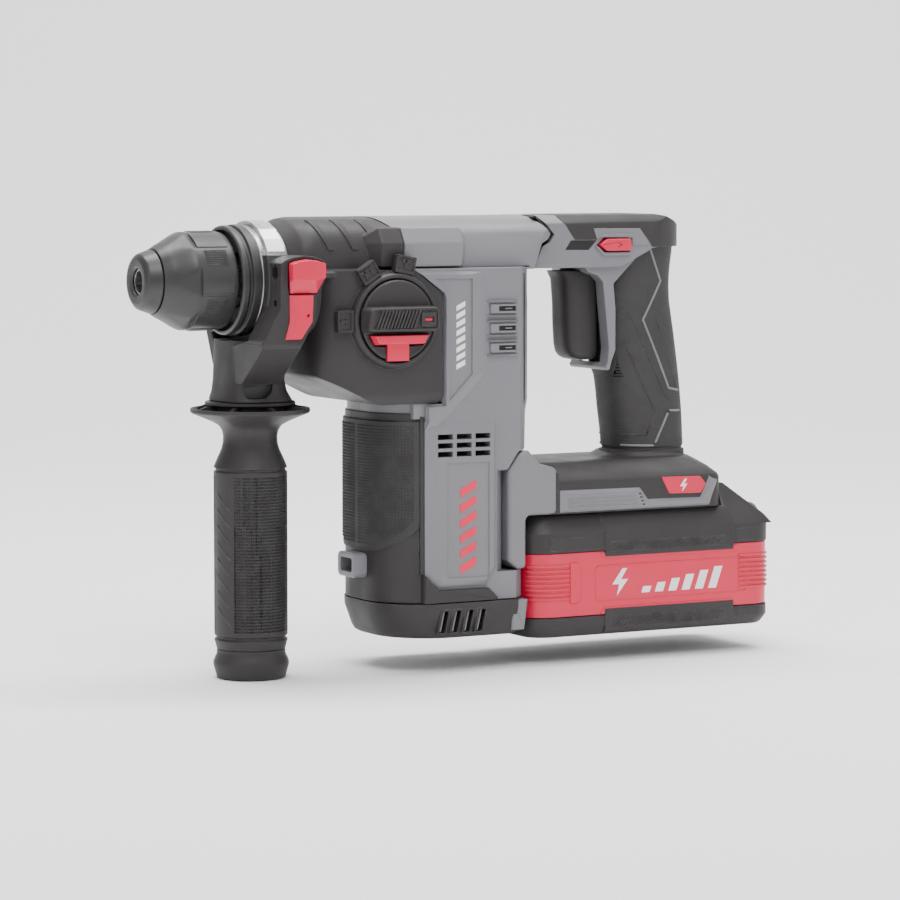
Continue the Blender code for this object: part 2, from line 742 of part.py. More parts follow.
def screw_station(shell, tag, x, z, half, side):
    """A boss from the wall to the split plane, bored for a screw from the right."""
    boss = [(side * (half - 1.5), 4.2), (side * SPLIT, 4.2)]
    join(shell, turned(f"boss_{tag}", "Y", (x, 0, z), boss, count=12))
    deep = 1.0 if side > 0 else 12.0
    bore = [(-deep, 1.8), (half + 1, 1.8)] if side > 0 else [(-deep, 1.8), (1, 1.8)]
    cut(shell, turned(f"cut_screw_{tag}", "Y", (x, 0, z), bore, count=12))
    if side > 0:
        head = [(half - 4.0, 3.5), (half + 1, 3.5)]
        cut(shell, turned(f"cut_head_{tag}", "Y", (x, 0, z), head, count=12))


def make_screws():
    for i, (x, z, half) in enumerate(HOUSING_SCREWS + HANDLE_SCREWS):
        profile = [(-10.0, 1.5), (half - 3.6, 1.5), (half - 3.6, 3.2), (half - 0.8, 3.2)]
        turned(f"housing_screw_{i + 1}", "Y", (x, 0, z), profile, "dark_steel", count=12)


def make_base_cap():
    """The cover under the motor, with four slanted air slots on each side."""
    left = column_outline(COLUMN_FRONT, BASE_REAR, BODY_HALF, COLUMN_CORNER, 0)
    outline = left[1:-1] + [(x, -y) for x, y in reversed(left[1:-1])]
    cap = plan("motor_base_cap", outline, BASE_Z, CAP_TOP, "grey_plastic")
    soften(cap, 3.0)
    left = column_outline(
        COLUMN_FRONT + WALL, BASE_REAR - WALL, BODY_HALF - WALL, COLUMN_CORNER - WALL, 0
    )
    room = left[1:-1] + [(x, -y) for x, y in reversed(left[1:-1])]
    cut(cap, plan("cut_cap_room", room, BASE_Z + WALL, CAP_TOP + 5))
    centre = (MOTOR_X, 0, 0)
    join(cap, turned("cap_boss", "Z", centre, [(BASE_Z + 1, 11.0), (BASE_Z + 13, 11.0)], count=24))
    cut(cap, turned("cut_cap_seat", "Z", centre, [(BASE_Z + 7, 8.3), (BASE_Z + 15, 8.3)], count=24))
    for side in (-1, 1):
        for i in range(4):
            x = 140.0 + 6.6 * i
            slot = [(x, CAP_TOP - 3.5), (x + 3.2, CAP_TOP - 3.5), (x + 1.4, BASE_Z + 4), (x - 1.8, BASE_Z + 4)]
            low, high = sorted((side * (BODY_HALF - WALL - 1), side * (BODY_HALF + 1)))
            cut(cap, prism(f"cut_slot_{side}_{i}", slot, low, high))


def make_front_pad():
    """The rubber bumper wrapped round the front of the motor column."""
    thick = 2.0
    face = COLUMN_FRONT - GAP
    outer = []
    inner = []
    for side in (-1, 1):
        for radius, points in ((COLUMN_CORNER + GAP + thick, outer), (COLUMN_CORNER + GAP, inner)):
            centre = (COLUMN_FRONT + COLUMN_CORNER, side * (BODY_HALF - COLUMN_CORNER))
            arc = round_corner(centre, radius, 180 - side * 66, 180, 7)
            points += arc if side < 0 else list(reversed(arc))
    outline = outer + list(reversed(inner))
    plan("front_pad", outline, -127.5, -66.0, "rubber")
    loop = box("strap_loop", (face - 7.0, -10, -141.0), (face - 0.2, 10, -128.8), "grey_plastic")
    soften(loop, 2.0)
    cut(loop, box("cut_strap", (face - 12, -5.6, -138.0), (face + 3, 5.6, -131.8)))


# ---- Handle module ---------------------------------------------------------
def foot_outline():
    return [
        (187.7, -81.8),
        (194.4, -88.3),
        (286.8, -88.9),
        (294.0, -94.9),
        (FOOT_REAR, -98.0),
        (FOOT_REAR, FOOT_FLOOR),
        (BASE_REAR, FOOT_FLOOR),
        (BASE_REAR, -138.0),
        (181.4, -138.0),
        (COLUMN_REAR + 0.6, -133.8),
        (COLUMN_REAR + 0.6, -90.9),
        (182.7, -82.0),
    ]


def top_bar_outline():
    return [
        (200.3, TOP_Z),
        (266.9, TOP_Z),
        (272.2, 27.9),
        (288.7, 22.3),
        (289.6, 16.4),
        (287.8, 12.8),
        (276.4, 0.7),
        (270.0, -4.0),
        (236.0, -4.0),
        (229.1, 3.6),
        (197.1, 3.6),
        (202.2, 14.2),
        (206.1, 16.0),
        (208.6, 19.6),
    ]


def grip_outline():
    return [
        (229.5, 4.4),
        (277.0, 4.4),
        (277.0, -10.1),
        (279.7, -27.3),
        (283.6, -56.3),
        (284.7, -66.3),
        (285.4, -91.0),
        (249.6, -91.0),
        (250.5, -81.5),
        (248.3, -65.9),
        (246.1, -49.7),
        (243.0, -46.0),
        (237.0, -44.6),
        (241.5, -35.3),
        (237.4, -2.1),
    ]


def gasket_outline():
    return [
        (197.3, TOP_Z - 1),
        (205.4, 19.8),
        (203.1, 17.0),
        (198.9, 15.3),
        (194.0, 4.2),
        (196.6, 4.2),
        (201.8, 14.6),
        (205.7, 16.3),
        (208.2, 19.7),
        (199.9, TOP_Z - 1),
    ]


def cut_gasket(shell, tag, side):
    """Clears the shell's seam edge round the rubber strip."""
    outline = inset(gasket_outline(), -GAP)
    cut(shell, prism(f"cut_gasket_{tag}", outline, side * (GASKET_HALF + GAP), -side * 2 * PAST_SPLIT))


def make_handle(side, name):
    """One half of the D-shaped handle and the battery foot."""
    tag = "left" if side < 0 else "right"
    shell = half_prism(name, foot_outline(), FOOT_HALF, side, "black_plastic")
    soften(shell, 3.0)
    grip = half_prism(f"grip_{tag}", grip_outline(), GRIP_HALF, side)
    soften(grip, 5.0, 2)
    bar = half_prism(f"top_bar_{tag}", top_bar_outline(), TOP_BAR_HALF, side)
    soften(bar, 3.0)
    join(shell, grip, bar)
    past = -side * (PAST_SPLIT + 1)
    deck = FOOT_FLOOR + 12.0
    foot_room = [(196, -91.5), (286, -91.5), (293, -98), (293, deck), (196, deck)]
    switch_room = [(248.4, 1.5), (272.5, 1.5), (276, -30), (281, -70), (281, -90), (254, -90), (254, -44)]
    switch_room.append((248.4, -44))
    trigger_room = [(225, 1.9), (249, 1.9), (249, -42.9), (225, -42.9)]
    slide_low = FOOT_FLOOR + 4.6
    slide_top = slide_low + 4.3
    lip = RAIL_HALF - 3.6
    cut(
        shell,
        prism(f"cut_foot_room_{tag}", foot_room, side * (FOOT_HALF - WALL), past),
        prism(f"cut_switch_room_{tag}", switch_room, side * (GRIP_HALF - WALL), past),
        prism(f"cut_trigger_room_{tag}", trigger_room, side * 9.9, past),
        prism(
            f"cut_bar_hollow_{tag}",
            [(212, TOP_Z - WALL), (266, TOP_Z - WALL), (266, 21), (212, 21)],
            side * (TOP_BAR_HALF - WALL),
            past,
        ),
        prism(
            f"cut_rail_{tag}",
            [(196, slide_low), (FOOT_REAR + 2, slide_low), (FOOT_REAR + 2, slide_top), (196, slide_top)],
            side * (RAIL_HALF + 0.4),
            past,
        ),
        prism(
            f"cut_rail_mouth_{tag}",
            [(196, FOOT_FLOOR - 2), (FOOT_REAR + 2, FOOT_FLOOR - 2)]
            + [(FOOT_REAR + 2, slide_low + 1), (196, slide_low + 1)],
            side * (lip + 0.4),
            past,
        ),
        prism(
            f"cut_lever_{tag}",
            [(235.6, 10.9), (250.4, 10.9), (250.4, 17.6), (235.6, 17.6)],
            side * (TOP_BAR_HALF + 2),
            past,
        ),
    )
    cut_gasket(shell, f"handle_{tag}", side)
    cut_at_split(shell, f"handle_{tag}", side)
    for i, (x, z, half) in enumerate(HANDLE_SCREWS):
        screw_station(shell, f"handle_{tag}_{i}", x, z, half, side)


def make_handle_parts():
    make_handle(-1, "handle_left")
    make_handle(1, "handle_right")
    prism("isolation_gasket", gasket_outline(), -GASKET_HALF, GASKET_HALF, "rubber")
    trigger = [(217.9, 1.0), (221.0, -1.5), (222.2, -13.1), (223.0, -35.5), (225.2, -39.6)]
    trigger += [(229.4, -41.3), (241.0, -41.6), (241.0, 1.0)]
    soften(prism("trigger", trigger, -9.5, 9.5, "black_plastic"), 2.5, 2)
    box("trigger_switch", (248.8, -9.5, -43.4), (271.5, 9.5, 1.0), "black_plastic")
    lever = [(236.0, 14.3), (239.0, 11.4), (247.0, 11.4), (250.0, 14.3), (247.0, 17.2), (239.0, 17.2)]
    prism("direction_lever", lever, -TOP_BAR_HALF - 2.2, TOP_BAR_HALF + 2.2, "red_plastic")
    deck = FOOT_FLOOR + 12.0
    box("control_board", (214, -26, deck + 1.5), (282, 26, deck + 7.0), "circuit")
    block = box("terminal_block", (197.5, -17.5, FOOT_FLOOR + 0.5), (212.5, 17.5, FOOT_FLOOR + 8.2), "black_plastic")
    for i in range(3):
        y = -10.0 + 10.0 * i
        blade = box(f"blade_{i}", (211.0, y - 0.5, FOOT_FLOOR + 1.5), (226.0, y + 0.5, FOOT_FLOOR + 7.0))
        join(block, blade)


# ---- Battery ---------------------------------------------------------------
def make_battery():
    top = FOOT_FLOOR - GAP
    seam_high = -131.0
    seam_low = -162.5
    plan_full = rounded_box(BATTERY_FRONT, BATTERY_REAR, -BATTERY_HALF, BATTERY_HALF, BATTERY_CORNER)
    plan_inner = rounded_box(
        BATTERY_FRONT + 2.6, BATTERY_REAR - 2.6, -BATTERY_HALF + 2.6, BATTERY_HALF - 2.6, BATTERY_CORNER - 2.6
    )
    shoulder = rounded_box(BATTERY_FRONT + 5, BATTERY_REAR - 5, -BATTERY_HALF + 7, BATTERY_HALF - 7, 7)
    loops = []
    for outline, z in ((plan_full, seam_high), (plan_full, -122.0), (shoulder, top)):
        loops.append([(x, y, z) for x, y in outline])
    upper = loft("battery_top_case", loops, "black_plastic")
    rail_base = box("rail_base", (220.0, -RAIL_HALF + 3.6, top - 3), (FOOT_REAR + 4, RAIL_HALF - 3.6, top + 7))
    slide_low = FOOT_FLOOR + 4.6
    rail_head = box("rail_head", (220.0, -RAIL_HALF, slide_low + 0.4), (FOOT_REAR - 1, RAIL_HALF, slide_low + 3.9))
    hood = [(FOOT_REAR + 0.6, top - 3), (FOOT_REAR + 0.6, -102.9), (303.0, -102.7), (322.0, -118.4)]
    hood.append((322.0, top - 8))
    hood = prism("latch_hood", hood, -24, 24)
    join(upper, rail_base, rail_head, hood)
    cut(upper, plan("cut_battery_room_top", plan_inner, seam_high - 1, -124.5))
    for i in range(3):
        y = -10.0 + 10.0 * i
        slot = box(f"cut_contact_{i}", (218.0, y - 1.2, FOOT_FLOOR + 1.0), (230.0, y + 1.2, FOOT_FLOOR + 7.4))
        cut(upper, slot)

    # The hood's slope, from its upper edge: unit directions down it and out of it.
    start = Vector((303.0, -102.7))
    down = (Vector((322.0, -118.4)) - start).normalized()
    out = Vector((-down.y, down.x))

    def on_slope(distance, height):
        return tuple(start + down * distance + out * height)

    pocket = [on_slope(2.5, 2.0), on_slope(21.5, 2.0), on_slope(21.5, -5.0), on_slope(2.5, -5.0)]
    cut(upper, prism("cut_latch_pocket", pocket, -13, 13))
    latch = [on_slope(3.5, -0.3), on_slope(7.0, 1.2), on_slope(17.5, -1.0), on_slope(17.5, -4.6)]
    latch.append(on_slope(3.5, -4.6))
    prism("battery_latch", latch, -12.5, 12.5, "red_plastic")

    middle = [(x, y) for x, y in plan_full]
    rows = [[(x, y, z) for x, y in middle] for z in (seam_low + GAP, seam_high - GAP)]
    rows += [[(x, y, z) for x, y in plan_inner] for z in (seam_high - GAP, seam_low + GAP)]
    band = loft("battery_case", rows, "red_plastic", ring=True)
    low, high = (-148.5, -138.5)
    window = box("cut_gauge_window", (BATTERY_REAR - 1.8, -14, low), (BATTERY_REAR + 2, 14, high))
    cut(band, window)
    gauge = box(
        "battery_gauge",
        (BATTERY_REAR - 1.5, -13.7, low + GAP),
        (BATTERY_REAR - 0.2, 13.7, high - GAP),
        "indicator",
    )
    soften(gauge, 0.4)
    foot = rounded_box(BATTERY_FRONT + 2, BATTERY_REAR - 2, -BATTERY_HALF + 3, BATTERY_HALF - 3, BATTERY_CORNER - 2)
    loops = [[(x, y, BATTERY_LOW) for x, y in foot]]
    loops += [[(x, y, z) for x, y in plan_full] for z in (BATTERY_LOW + 4, seam_low)]
    tray = loft("battery_base", loops, "black_plastic")
    cut(tray, plan("cut_battery_room_base", plan_inner, BATTERY_LOW + 3, seam_low + 1))

    pitch = 21.6
    first = (BATTERY_FRONT + BATTERY_REAR) / 2 - 2 * pitch
    pack = box("battery_cell_pack", (first - 6, -30, -150), (first + 4 * pitch + 6, 30, -144), "cell")
    for i in range(5):
        cell = [(-32.5, 10.5), (32.5, 10.5)]
        join(pack, turned(f"cell_{i}", "Y", (first + i * pitch, 0, -147.0), cell, count=20))


# ---- Mode knob -------------------------------------------------------------
def make_knob():
    centre = (KNOB_X, 0, KNOB_Z)
    face = -GEARBOX_HALF - GAP
    profile = [(face - 4.5, KNOB_RADIUS), (face, KNOB_RADIUS), (face, 6.0), (-26.5, 6.0)]
    knob = turned("mode_knob", "Y", centre, profile, "black_plastic", count=24)
    bar = [(-19, -6), (-17, 6), (17, 6), (19, -6)]
    bar = [(KNOB_X + x, KNOB_Z + z + 0.3) for x, z in bar]
    bar = prism("knob_bar", bar, KNOB_FACE, face - 3)
    soften(bar, 1.5)
    pin = turned("knob_pin", "Y", (KNOB_X - 3.6, 0, KNOB_Z), [(-27.5, 2.0), (-24.2, 2.0)], count=12)
    join(knob, bar, pin)
    button = [(99.4, -24.8), (129.6, -24.8), (126.8, -29.6), (119.7, -30.2), (119.7, -35.0)]
    button += [(108.3, -35.0), (108.3, -30.2), (101.8, -29.6)]
    cut(knob, prism("cut_knob_button", inset(button, -0.35), face - 6, face - 1.8))
    prism("knob_lock_button", button, face - 8.6, face - 4.1, "red_plastic")


# ---- Side handle -----------------------------------------------------------
def make_side_handle():
    axis = (SIDE_X, 0, 0)
    inner = COLLAR_RADIUS + GAP
    band_outer = inner + 1.6
    clamp = ring("aux_clamp", "X", (0, 0, 0), 53.0, 66.2, inner, CLAMP_OUTER, "black_plastic", 24)
    boss = [(54.0, 11.0), (75.6, 11.0), (75.6, 1.0), (71.0, -7.5), (69.8, -17.0), (63.5, -28.0), (54.0, -28.0)]
    boss = prism("clamp_boss", boss, -41.0, -28.5)
    soften(boss, 1.5)
    neck = plan("clamp_neck", rounded_box(41.0, 74.0, -17.0, 17.0, 6), -55.6, -24.0)
    join(clamp, boss, neck)
    cut(
        clamp,
        turned("cut_clamp_front", "X", (0, 0, 0), [(35, inner), (66.2, inner)]),
        turned("cut_clamp_rear", "X", (0, 0, 0), [(66.1, 29.2), (90, 29.2)]),
        turned("cut_clamp_band", "X", (0, 0, 0), [(55.0, band_outer + GAP), (64.5, band_outer + GAP)], count=24),
        turned("cut_clamp_bolt", "Z", axis, [(-60, 4.3), (-20, 4.3)], count=16),
        turned("cut_depth_hole", "X", (0, -34.5, 4.5), [(40, 3.4), (90, 3.4)], count=6),
    )
    button = [(57.2, 10.0), (74.6, 10.4), (74.4, 1.4), (57.4, 0.6)]
    recess = prism("cut_depth_button", inset(button, -0.35), -42.5, -38.2)
    cut(clamp, recess)
    button = prism("depth_lock_button", button, -45.0, -41.4, "red_plastic")
    soften(button, 0.8)
    trim = [(57.6, -5.6), (69.2, -5.6), (68.6, -18.0), (63.2, -26.0), (55.2, -26.0), (57.6, -18.0)]
    prism("clamp_trim", trim, -43.2, -41.3, "red_plastic")

    band = ring("clamp_band", "X", (0, 0, 0), 55.3, 64.2, inner, band_outer, "steel", 24)
    stud = turned("clamp_stud", "Z", axis, [(-80.0, 4.0), (-26.6, 4.0)], count=16)
    join(band, stud)
    top = -56.0
    grip = [
        (top, 21.0),
        (-58.2, 22.0),
        (-58.8, SIDE_FLANGE_RADIUS - 1),
        (-60.2, SIDE_FLANGE_RADIUS),
        (-61.6, SIDE_FLANGE_RADIUS - 1),
        (-64.5, 17.5),
        (-72.0, 13.0),
        (-79.0, 13.6),
        (-86.5, SIDE_GRIP_RADIUS - 0.4),
        (-88.5, SIDE_GRIP_RADIUS),
        (-164.0, SIDE_GRIP_RADIUS),
        (-171.0, SIDE_GRIP_RADIUS - 1),
    ]
    grip = turned("aux_grip", "Z", axis, grip, "rubber")
    cut(grip, turned("cut_grip_bore", "Z", axis, [(-83.0, 4.4), (top + 5, 4.4)], count=16))
    cap = [(-171.0 - GAP, 17.3), (-175.0, 17.0), (-179.0, 19.2), (-182.5, 18.9), (SIDE_END, 17.0)]
    turned("aux_grip_cap", "Z", axis, cap, "rubber")


def main():
    clear_scene()
    make_chuck()
    make_spindle()
    make_gears()
    make_motor()
    make_gearbox()
    make_housing(-1, "housing_left")
    make_housing(1, "housing_right")
    make_base_cap()
    make_front_pad()
    make_screws()
    make_handle_parts()
    make_battery()
    make_knob()
    make_side_handle()


main()
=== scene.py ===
"""Looks for a cordless rotary hammer: an add-on that builds each visible piece.

Shapes are in millimetres in the tool's own frame: X runs back from the chuck's nose, Y to the
tool's right as its user sees it, Z up, with the spindle's axis at y = 0, z = 0.
"""

import math

import bmesh
import bpy
from mathutils import Matrix, Vector


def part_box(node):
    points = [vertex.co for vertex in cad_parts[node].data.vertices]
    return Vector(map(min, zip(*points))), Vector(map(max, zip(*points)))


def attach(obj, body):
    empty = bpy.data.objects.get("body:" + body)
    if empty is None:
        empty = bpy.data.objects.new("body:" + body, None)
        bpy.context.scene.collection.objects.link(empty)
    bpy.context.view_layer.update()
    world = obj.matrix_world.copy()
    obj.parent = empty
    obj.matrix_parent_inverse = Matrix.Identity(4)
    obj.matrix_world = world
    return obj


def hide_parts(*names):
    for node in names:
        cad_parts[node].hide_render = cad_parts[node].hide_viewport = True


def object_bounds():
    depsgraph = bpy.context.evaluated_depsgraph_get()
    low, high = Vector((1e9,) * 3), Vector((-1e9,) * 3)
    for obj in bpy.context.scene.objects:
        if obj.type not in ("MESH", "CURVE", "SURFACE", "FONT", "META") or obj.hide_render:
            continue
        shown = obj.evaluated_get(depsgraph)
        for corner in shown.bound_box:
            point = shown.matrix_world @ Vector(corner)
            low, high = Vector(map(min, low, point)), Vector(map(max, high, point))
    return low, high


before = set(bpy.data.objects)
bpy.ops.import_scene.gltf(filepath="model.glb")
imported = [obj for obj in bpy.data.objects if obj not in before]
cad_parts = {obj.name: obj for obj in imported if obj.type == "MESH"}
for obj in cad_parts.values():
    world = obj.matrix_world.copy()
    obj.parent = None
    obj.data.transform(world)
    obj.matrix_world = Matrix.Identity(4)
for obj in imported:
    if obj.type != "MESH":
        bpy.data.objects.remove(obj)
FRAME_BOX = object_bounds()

bl_info = {
    "name": "Rotary Hammer Looks",
    "version": (1, 0, 0),
    "blender": (4, 5, 0),
    "location": "View3D > Sidebar > Rotary Hammer",
    "description": "Builds the visible pieces and finishes of a cordless rotary hammer",
    "category": "Object",
}

MM = 0.001
NOSE_LOW, NOSE_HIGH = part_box("nose_cap")
HOME = Vector((NOSE_LOW.x, (NOSE_LOW.y + NOSE_HIGH.y) / 2, (NOSE_LOW.z + NOSE_HIGH.z) / 2))


def tool_box(node):
    """A node's lowest and highest corners in the tool's own frame, in millimetres."""
    low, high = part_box(node)
    return (low - HOME) / MM, (high - HOME) / MM


# ---- Shape helpers -----------------------------------------------------------
def from_bmesh(name, mesh):
    data = bpy.data.meshes.new(name)
    mesh.to_mesh(data)
    mesh.free()
    made = bpy.data.objects.new(name, data)
    bpy.context.scene.collection.objects.link(made)
    return made


def skin(name, loops, ring=False):
    """Skins loops of equally many points, in tool millimetres. A ring joins the last loop to the
    first; otherwise both ends are capped."""
    mesh = bmesh.new()
    rows = [[mesh.verts.new(HOME + Vector(p) * MM) for p in loop] for loop in loops]
    count = len(rows[0])
    pairs = list(zip(rows, rows[1:]))
    if ring:
        pairs.append((rows[-1], rows[0]))
    for low, high in pairs:
        for i in range(count):
            j = (i + 1) % count
            mesh.faces.new((low[i], low[j], high[j], high[i]))
    if not ring:
        mesh.faces.new(rows[0])
        mesh.faces.new(rows[-1])
    bmesh.ops.recalc_face_normals(mesh, faces=mesh.faces)
    return from_bmesh(name, mesh)


def rounded(points, radius, steps=4, closed=True):
    """The polyline with each corner replaced by a short curve; radius is how far it reaches."""
    pts = [Vector(p) for p in points]
    count = len(pts)
    made = []
    for i, corner in enumerate(pts):
        if not closed and i in (0, count - 1):
            made.append(tuple(corner))
            continue
        before = pts[i - 1] - corner
        after = pts[(i + 1) % count] - corner
        reach = min(radius, before.length * 0.45, after.length * 0.45)
        start = corner + before.normalized() * reach
        end = corner + after.normalized() * reach
        for k in range(steps + 1):
            t = k / steps
            made.append(tuple(start * (1 - t) ** 2 + corner * 2 * t * (1 - t) + end * t * t))
    return made


def turned(name, axis, centre, profile, count=96, ring=False, radius=0.0):
    """A turned piece. The profile is (distance along the axis, radius) pairs."""
    if radius:
        profile = rounded(profile, radius, 3, closed=ring)
    loops = []
    for distance, r in profile:
        loop = []
        for i in range(count):
            angle = 2 * math.pi * i / count
            a = r * math.cos(angle)
            b = r * math.sin(angle)
            if axis == "X":
                loop.append((distance, centre[1] + a, centre[2] + b))
            elif axis == "Y":
                loop.append((centre[0] + b, distance, centre[2] + a))
            else:
                loop.append((centre[0] + a, centre[1] + b, distance))
        loops.append(loop)
    return skin(name, loops, ring)


def bevelled(piece, width, segments=3, angle=50):
    """Rounds edges in the mesh itself."""
    step = piece.modifiers.new("round", "BEVEL")
    step.width = width * MM
    step.segments = segments
    step.use_clamp_overlap = False
    step.miter_outer = "MITER_ARC"
    step.limit_method = "ANGLE"
    step.angle_limit = math.radians(angle)
    return settle(piece)


def settle(piece):
    """Makes what the modifiers give the piece's own plain mesh."""
    graph = bpy.context.evaluated_depsgraph_get()
    data = bpy.data.meshes.new_from_object(
        piece.evaluated_get(graph), preserve_all_data_layers=True, depsgraph=graph
    )
    piece.modifiers.clear()
    piece.data = data
    data.name = piece.name
    return piece


def prism(name, outline, low, high, corner=0.0, edge=0.0, segments=3):
    """An (x, z) outline pushed along Y, with its corners and then its edges rounded."""
    if corner:
        outline = rounded(outline, corner)
    made = skin(name, [[(x, y, z) for x, z in outline] for y in (low, high)])
    return bevelled(made, edge, segments) if edge else made


def plan(name, outline, low, high, corner=0.0, edge=0.0, segments=3):
    """An (x, y) outline pushed along Z."""
    if corner:
        outline = rounded(outline, corner)
    made = skin(name, [[(x, y, z) for x, y in outline] for z in (low, high)])
    return bevelled(made, edge, segments) if edge else made


def across(name, outline, low, high, corner=0.0, edge=0.0, segments=3):
    """A (y, z) outline pushed along X."""
    if corner:
        outline = rounded(outline, corner)
    made = skin(name, [[(x, y, z) for y, z in outline] for x in (low, high)])
    return bevelled(made, edge, segments) if edge else made


def block(name, low, high, edge=0.0):
    outline = [(low[0], low[1]), (high[0], low[1]), (high[0], high[1]), (low[0], high[1])]
    return plan(name, outline, low[2], high[2], 0.0, edge, 2)


def plate(name, base, top, side, base_y, top_y, edge=0.3):
    """A raised plate on one side of the tool, from a base outline to a smaller top outline."""
    loops = [[(x, side * base_y, z) for x, z in base], [(x, side * top_y, z) for x, z in top]]
    made = skin(name, loops)
    return bevelled(made, edge, 2, 20) if edge else made


def combine(target, others, operation):
    """Booleans the target with each of the others, and removes them."""
    for other in others:
        step = target.modifiers.new("combine", "BOOLEAN")
        step.operation = operation
        step.solver = "EXACT"
        step.object = other
    settle(target)
    for other in others:
        bpy.data.objects.remove(other, do_unlink=True)
    return target


def carve(target, *cutters):
    return combine(target, cutters, "DIFFERENCE")


def weld(target, *others):
    return combine(target, others, "UNION")


def keep_inside(target, limit):
    return combine(target, [limit], "INTERSECT")


def painted(piece, material):
    """Gives the whole piece one material."""
    piece.data.materials.clear()
    piece.data.materials.append(material)
    for face in piece.data.polygons:
        face.material_index = 0
    return piece


def gathered(name, pieces):
    """One object from several, each part keeping its material."""
    mesh = bmesh.new()
    slots = []
    for piece in pieces:
        start = len(mesh.faces)
        own = list(piece.data.materials)
        mesh.from_mesh(piece.data)
        mesh.faces.ensure_lookup_table()
        for face in mesh.faces[start:]:
            material = own[face.material_index]
            if material not in slots:
                slots.append(material)
            face.material_index = slots.index(material)
    for piece in pieces:
        bpy.data.objects.remove(piece, do_unlink=True)
    made = from_bmesh(name, mesh)
    for material in slots:
        made.data.materials.append(material)
    return made


def finished(piece, body, slot, *nodes, angle=38):
    """Shades the piece, sets it on its body and lets it stand for its nodes."""
    piece.data.shade_smooth()
    piece.data.set_sharp_from_angle(angle=math.radians(angle))
    step = piece.modifiers.new("flats", "WEIGHTED_NORMAL")
    step.keep_sharp = True
    step.mode = "FACE_AREA"
    settle(piece)
    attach(piece, body)
    if nodes:
        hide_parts(*nodes)
    return piece


# ---- Repeats made with Geometry Nodes ---------------------------------------
def new_tree(name, sockets):
    """An empty tree with the named inputs; returns it with its input and output nodes."""
    tree = bpy.data.node_groups.new(name, "GeometryNodeTree")
    tree.interface.new_socket("Geometry", in_out="INPUT", socket_type="NodeSocketGeometry")
    for label, kind in sockets:
        tree.interface.new_socket(label, in_out="INPUT", socket_type=kind)
    tree.interface.new_socket("Geometry", in_out="OUTPUT", socket_type="NodeSocketGeometry")
    return tree, tree.nodes.new("NodeGroupInput"), tree.nodes.new("NodeGroupOutput")


def ended(tree, geometry, given, out):
    """Ends a tree in real geometry with its material."""
    real = tree.nodes.new("GeometryNodeRealizeInstances")
    paint = tree.nodes.new("GeometryNodeSetMaterial")
    tree.links.new(geometry, real.inputs[0])
    tree.links.new(real.outputs[0], paint.inputs["Geometry"])
    tree.links.new(given.outputs["Material"], paint.inputs["Material"])
    tree.links.new(paint.outputs[0], out.inputs[0])


def row_tree():
    """Repeats a piece along a step and round a centre."""
    found = bpy.data.node_groups.get("repeat in a row")
    if found:
        return found
    tree, given, out = new_tree(
        "repeat in a row",
        (
            ("Piece", "NodeSocketObject"),
            ("Count", "NodeSocketInt"),
            ("Centre", "NodeSocketVector"),
            ("Step", "NodeSocketVector"),
            ("Turn", "NodeSocketVector"),
            ("Material", "NodeSocketMaterial"),
        ),
    )
    new = tree.nodes.new
    link = tree.links.new
    source = new("GeometryNodeObjectInfo")
    source.transform_space = "ORIGINAL"
    back = new("ShaderNodeVectorMath")
    back.operation = "SCALE"
    back.inputs["Scale"].default_value = -1.0
    move = new("GeometryNodeTransform")
    line = new("GeometryNodeMeshLine")
    line.mode = "OFFSET"
    spread = new("GeometryNodeInstanceOnPoints")
    index = new("GeometryNodeInputIndex")
    turn = new("ShaderNodeVectorMath")
    turn.operation = "SCALE"
    link(given.outputs["Piece"], source.inputs["Object"])
    link(given.outputs["Centre"], back.inputs[0])
    link(source.outputs["Geometry"], move.inputs["Geometry"])
    link(back.outputs[0], move.inputs["Translation"])
    link(given.outputs["Count"], line.inputs["Count"])
    link(given.outputs["Centre"], line.inputs["Start Location"])
    link(given.outputs["Step"], line.inputs["Offset"])
    link(line.outputs["Mesh"], spread.inputs["Points"])
    link(move.outputs["Geometry"], spread.inputs["Instance"])
    link(given.outputs["Turn"], turn.inputs[0])
    link(index.outputs[0], turn.inputs["Scale"])
    link(turn.outputs[0], spread.inputs["Rotation"])
    ended(tree, spread.outputs[0], given, out)
    return tree


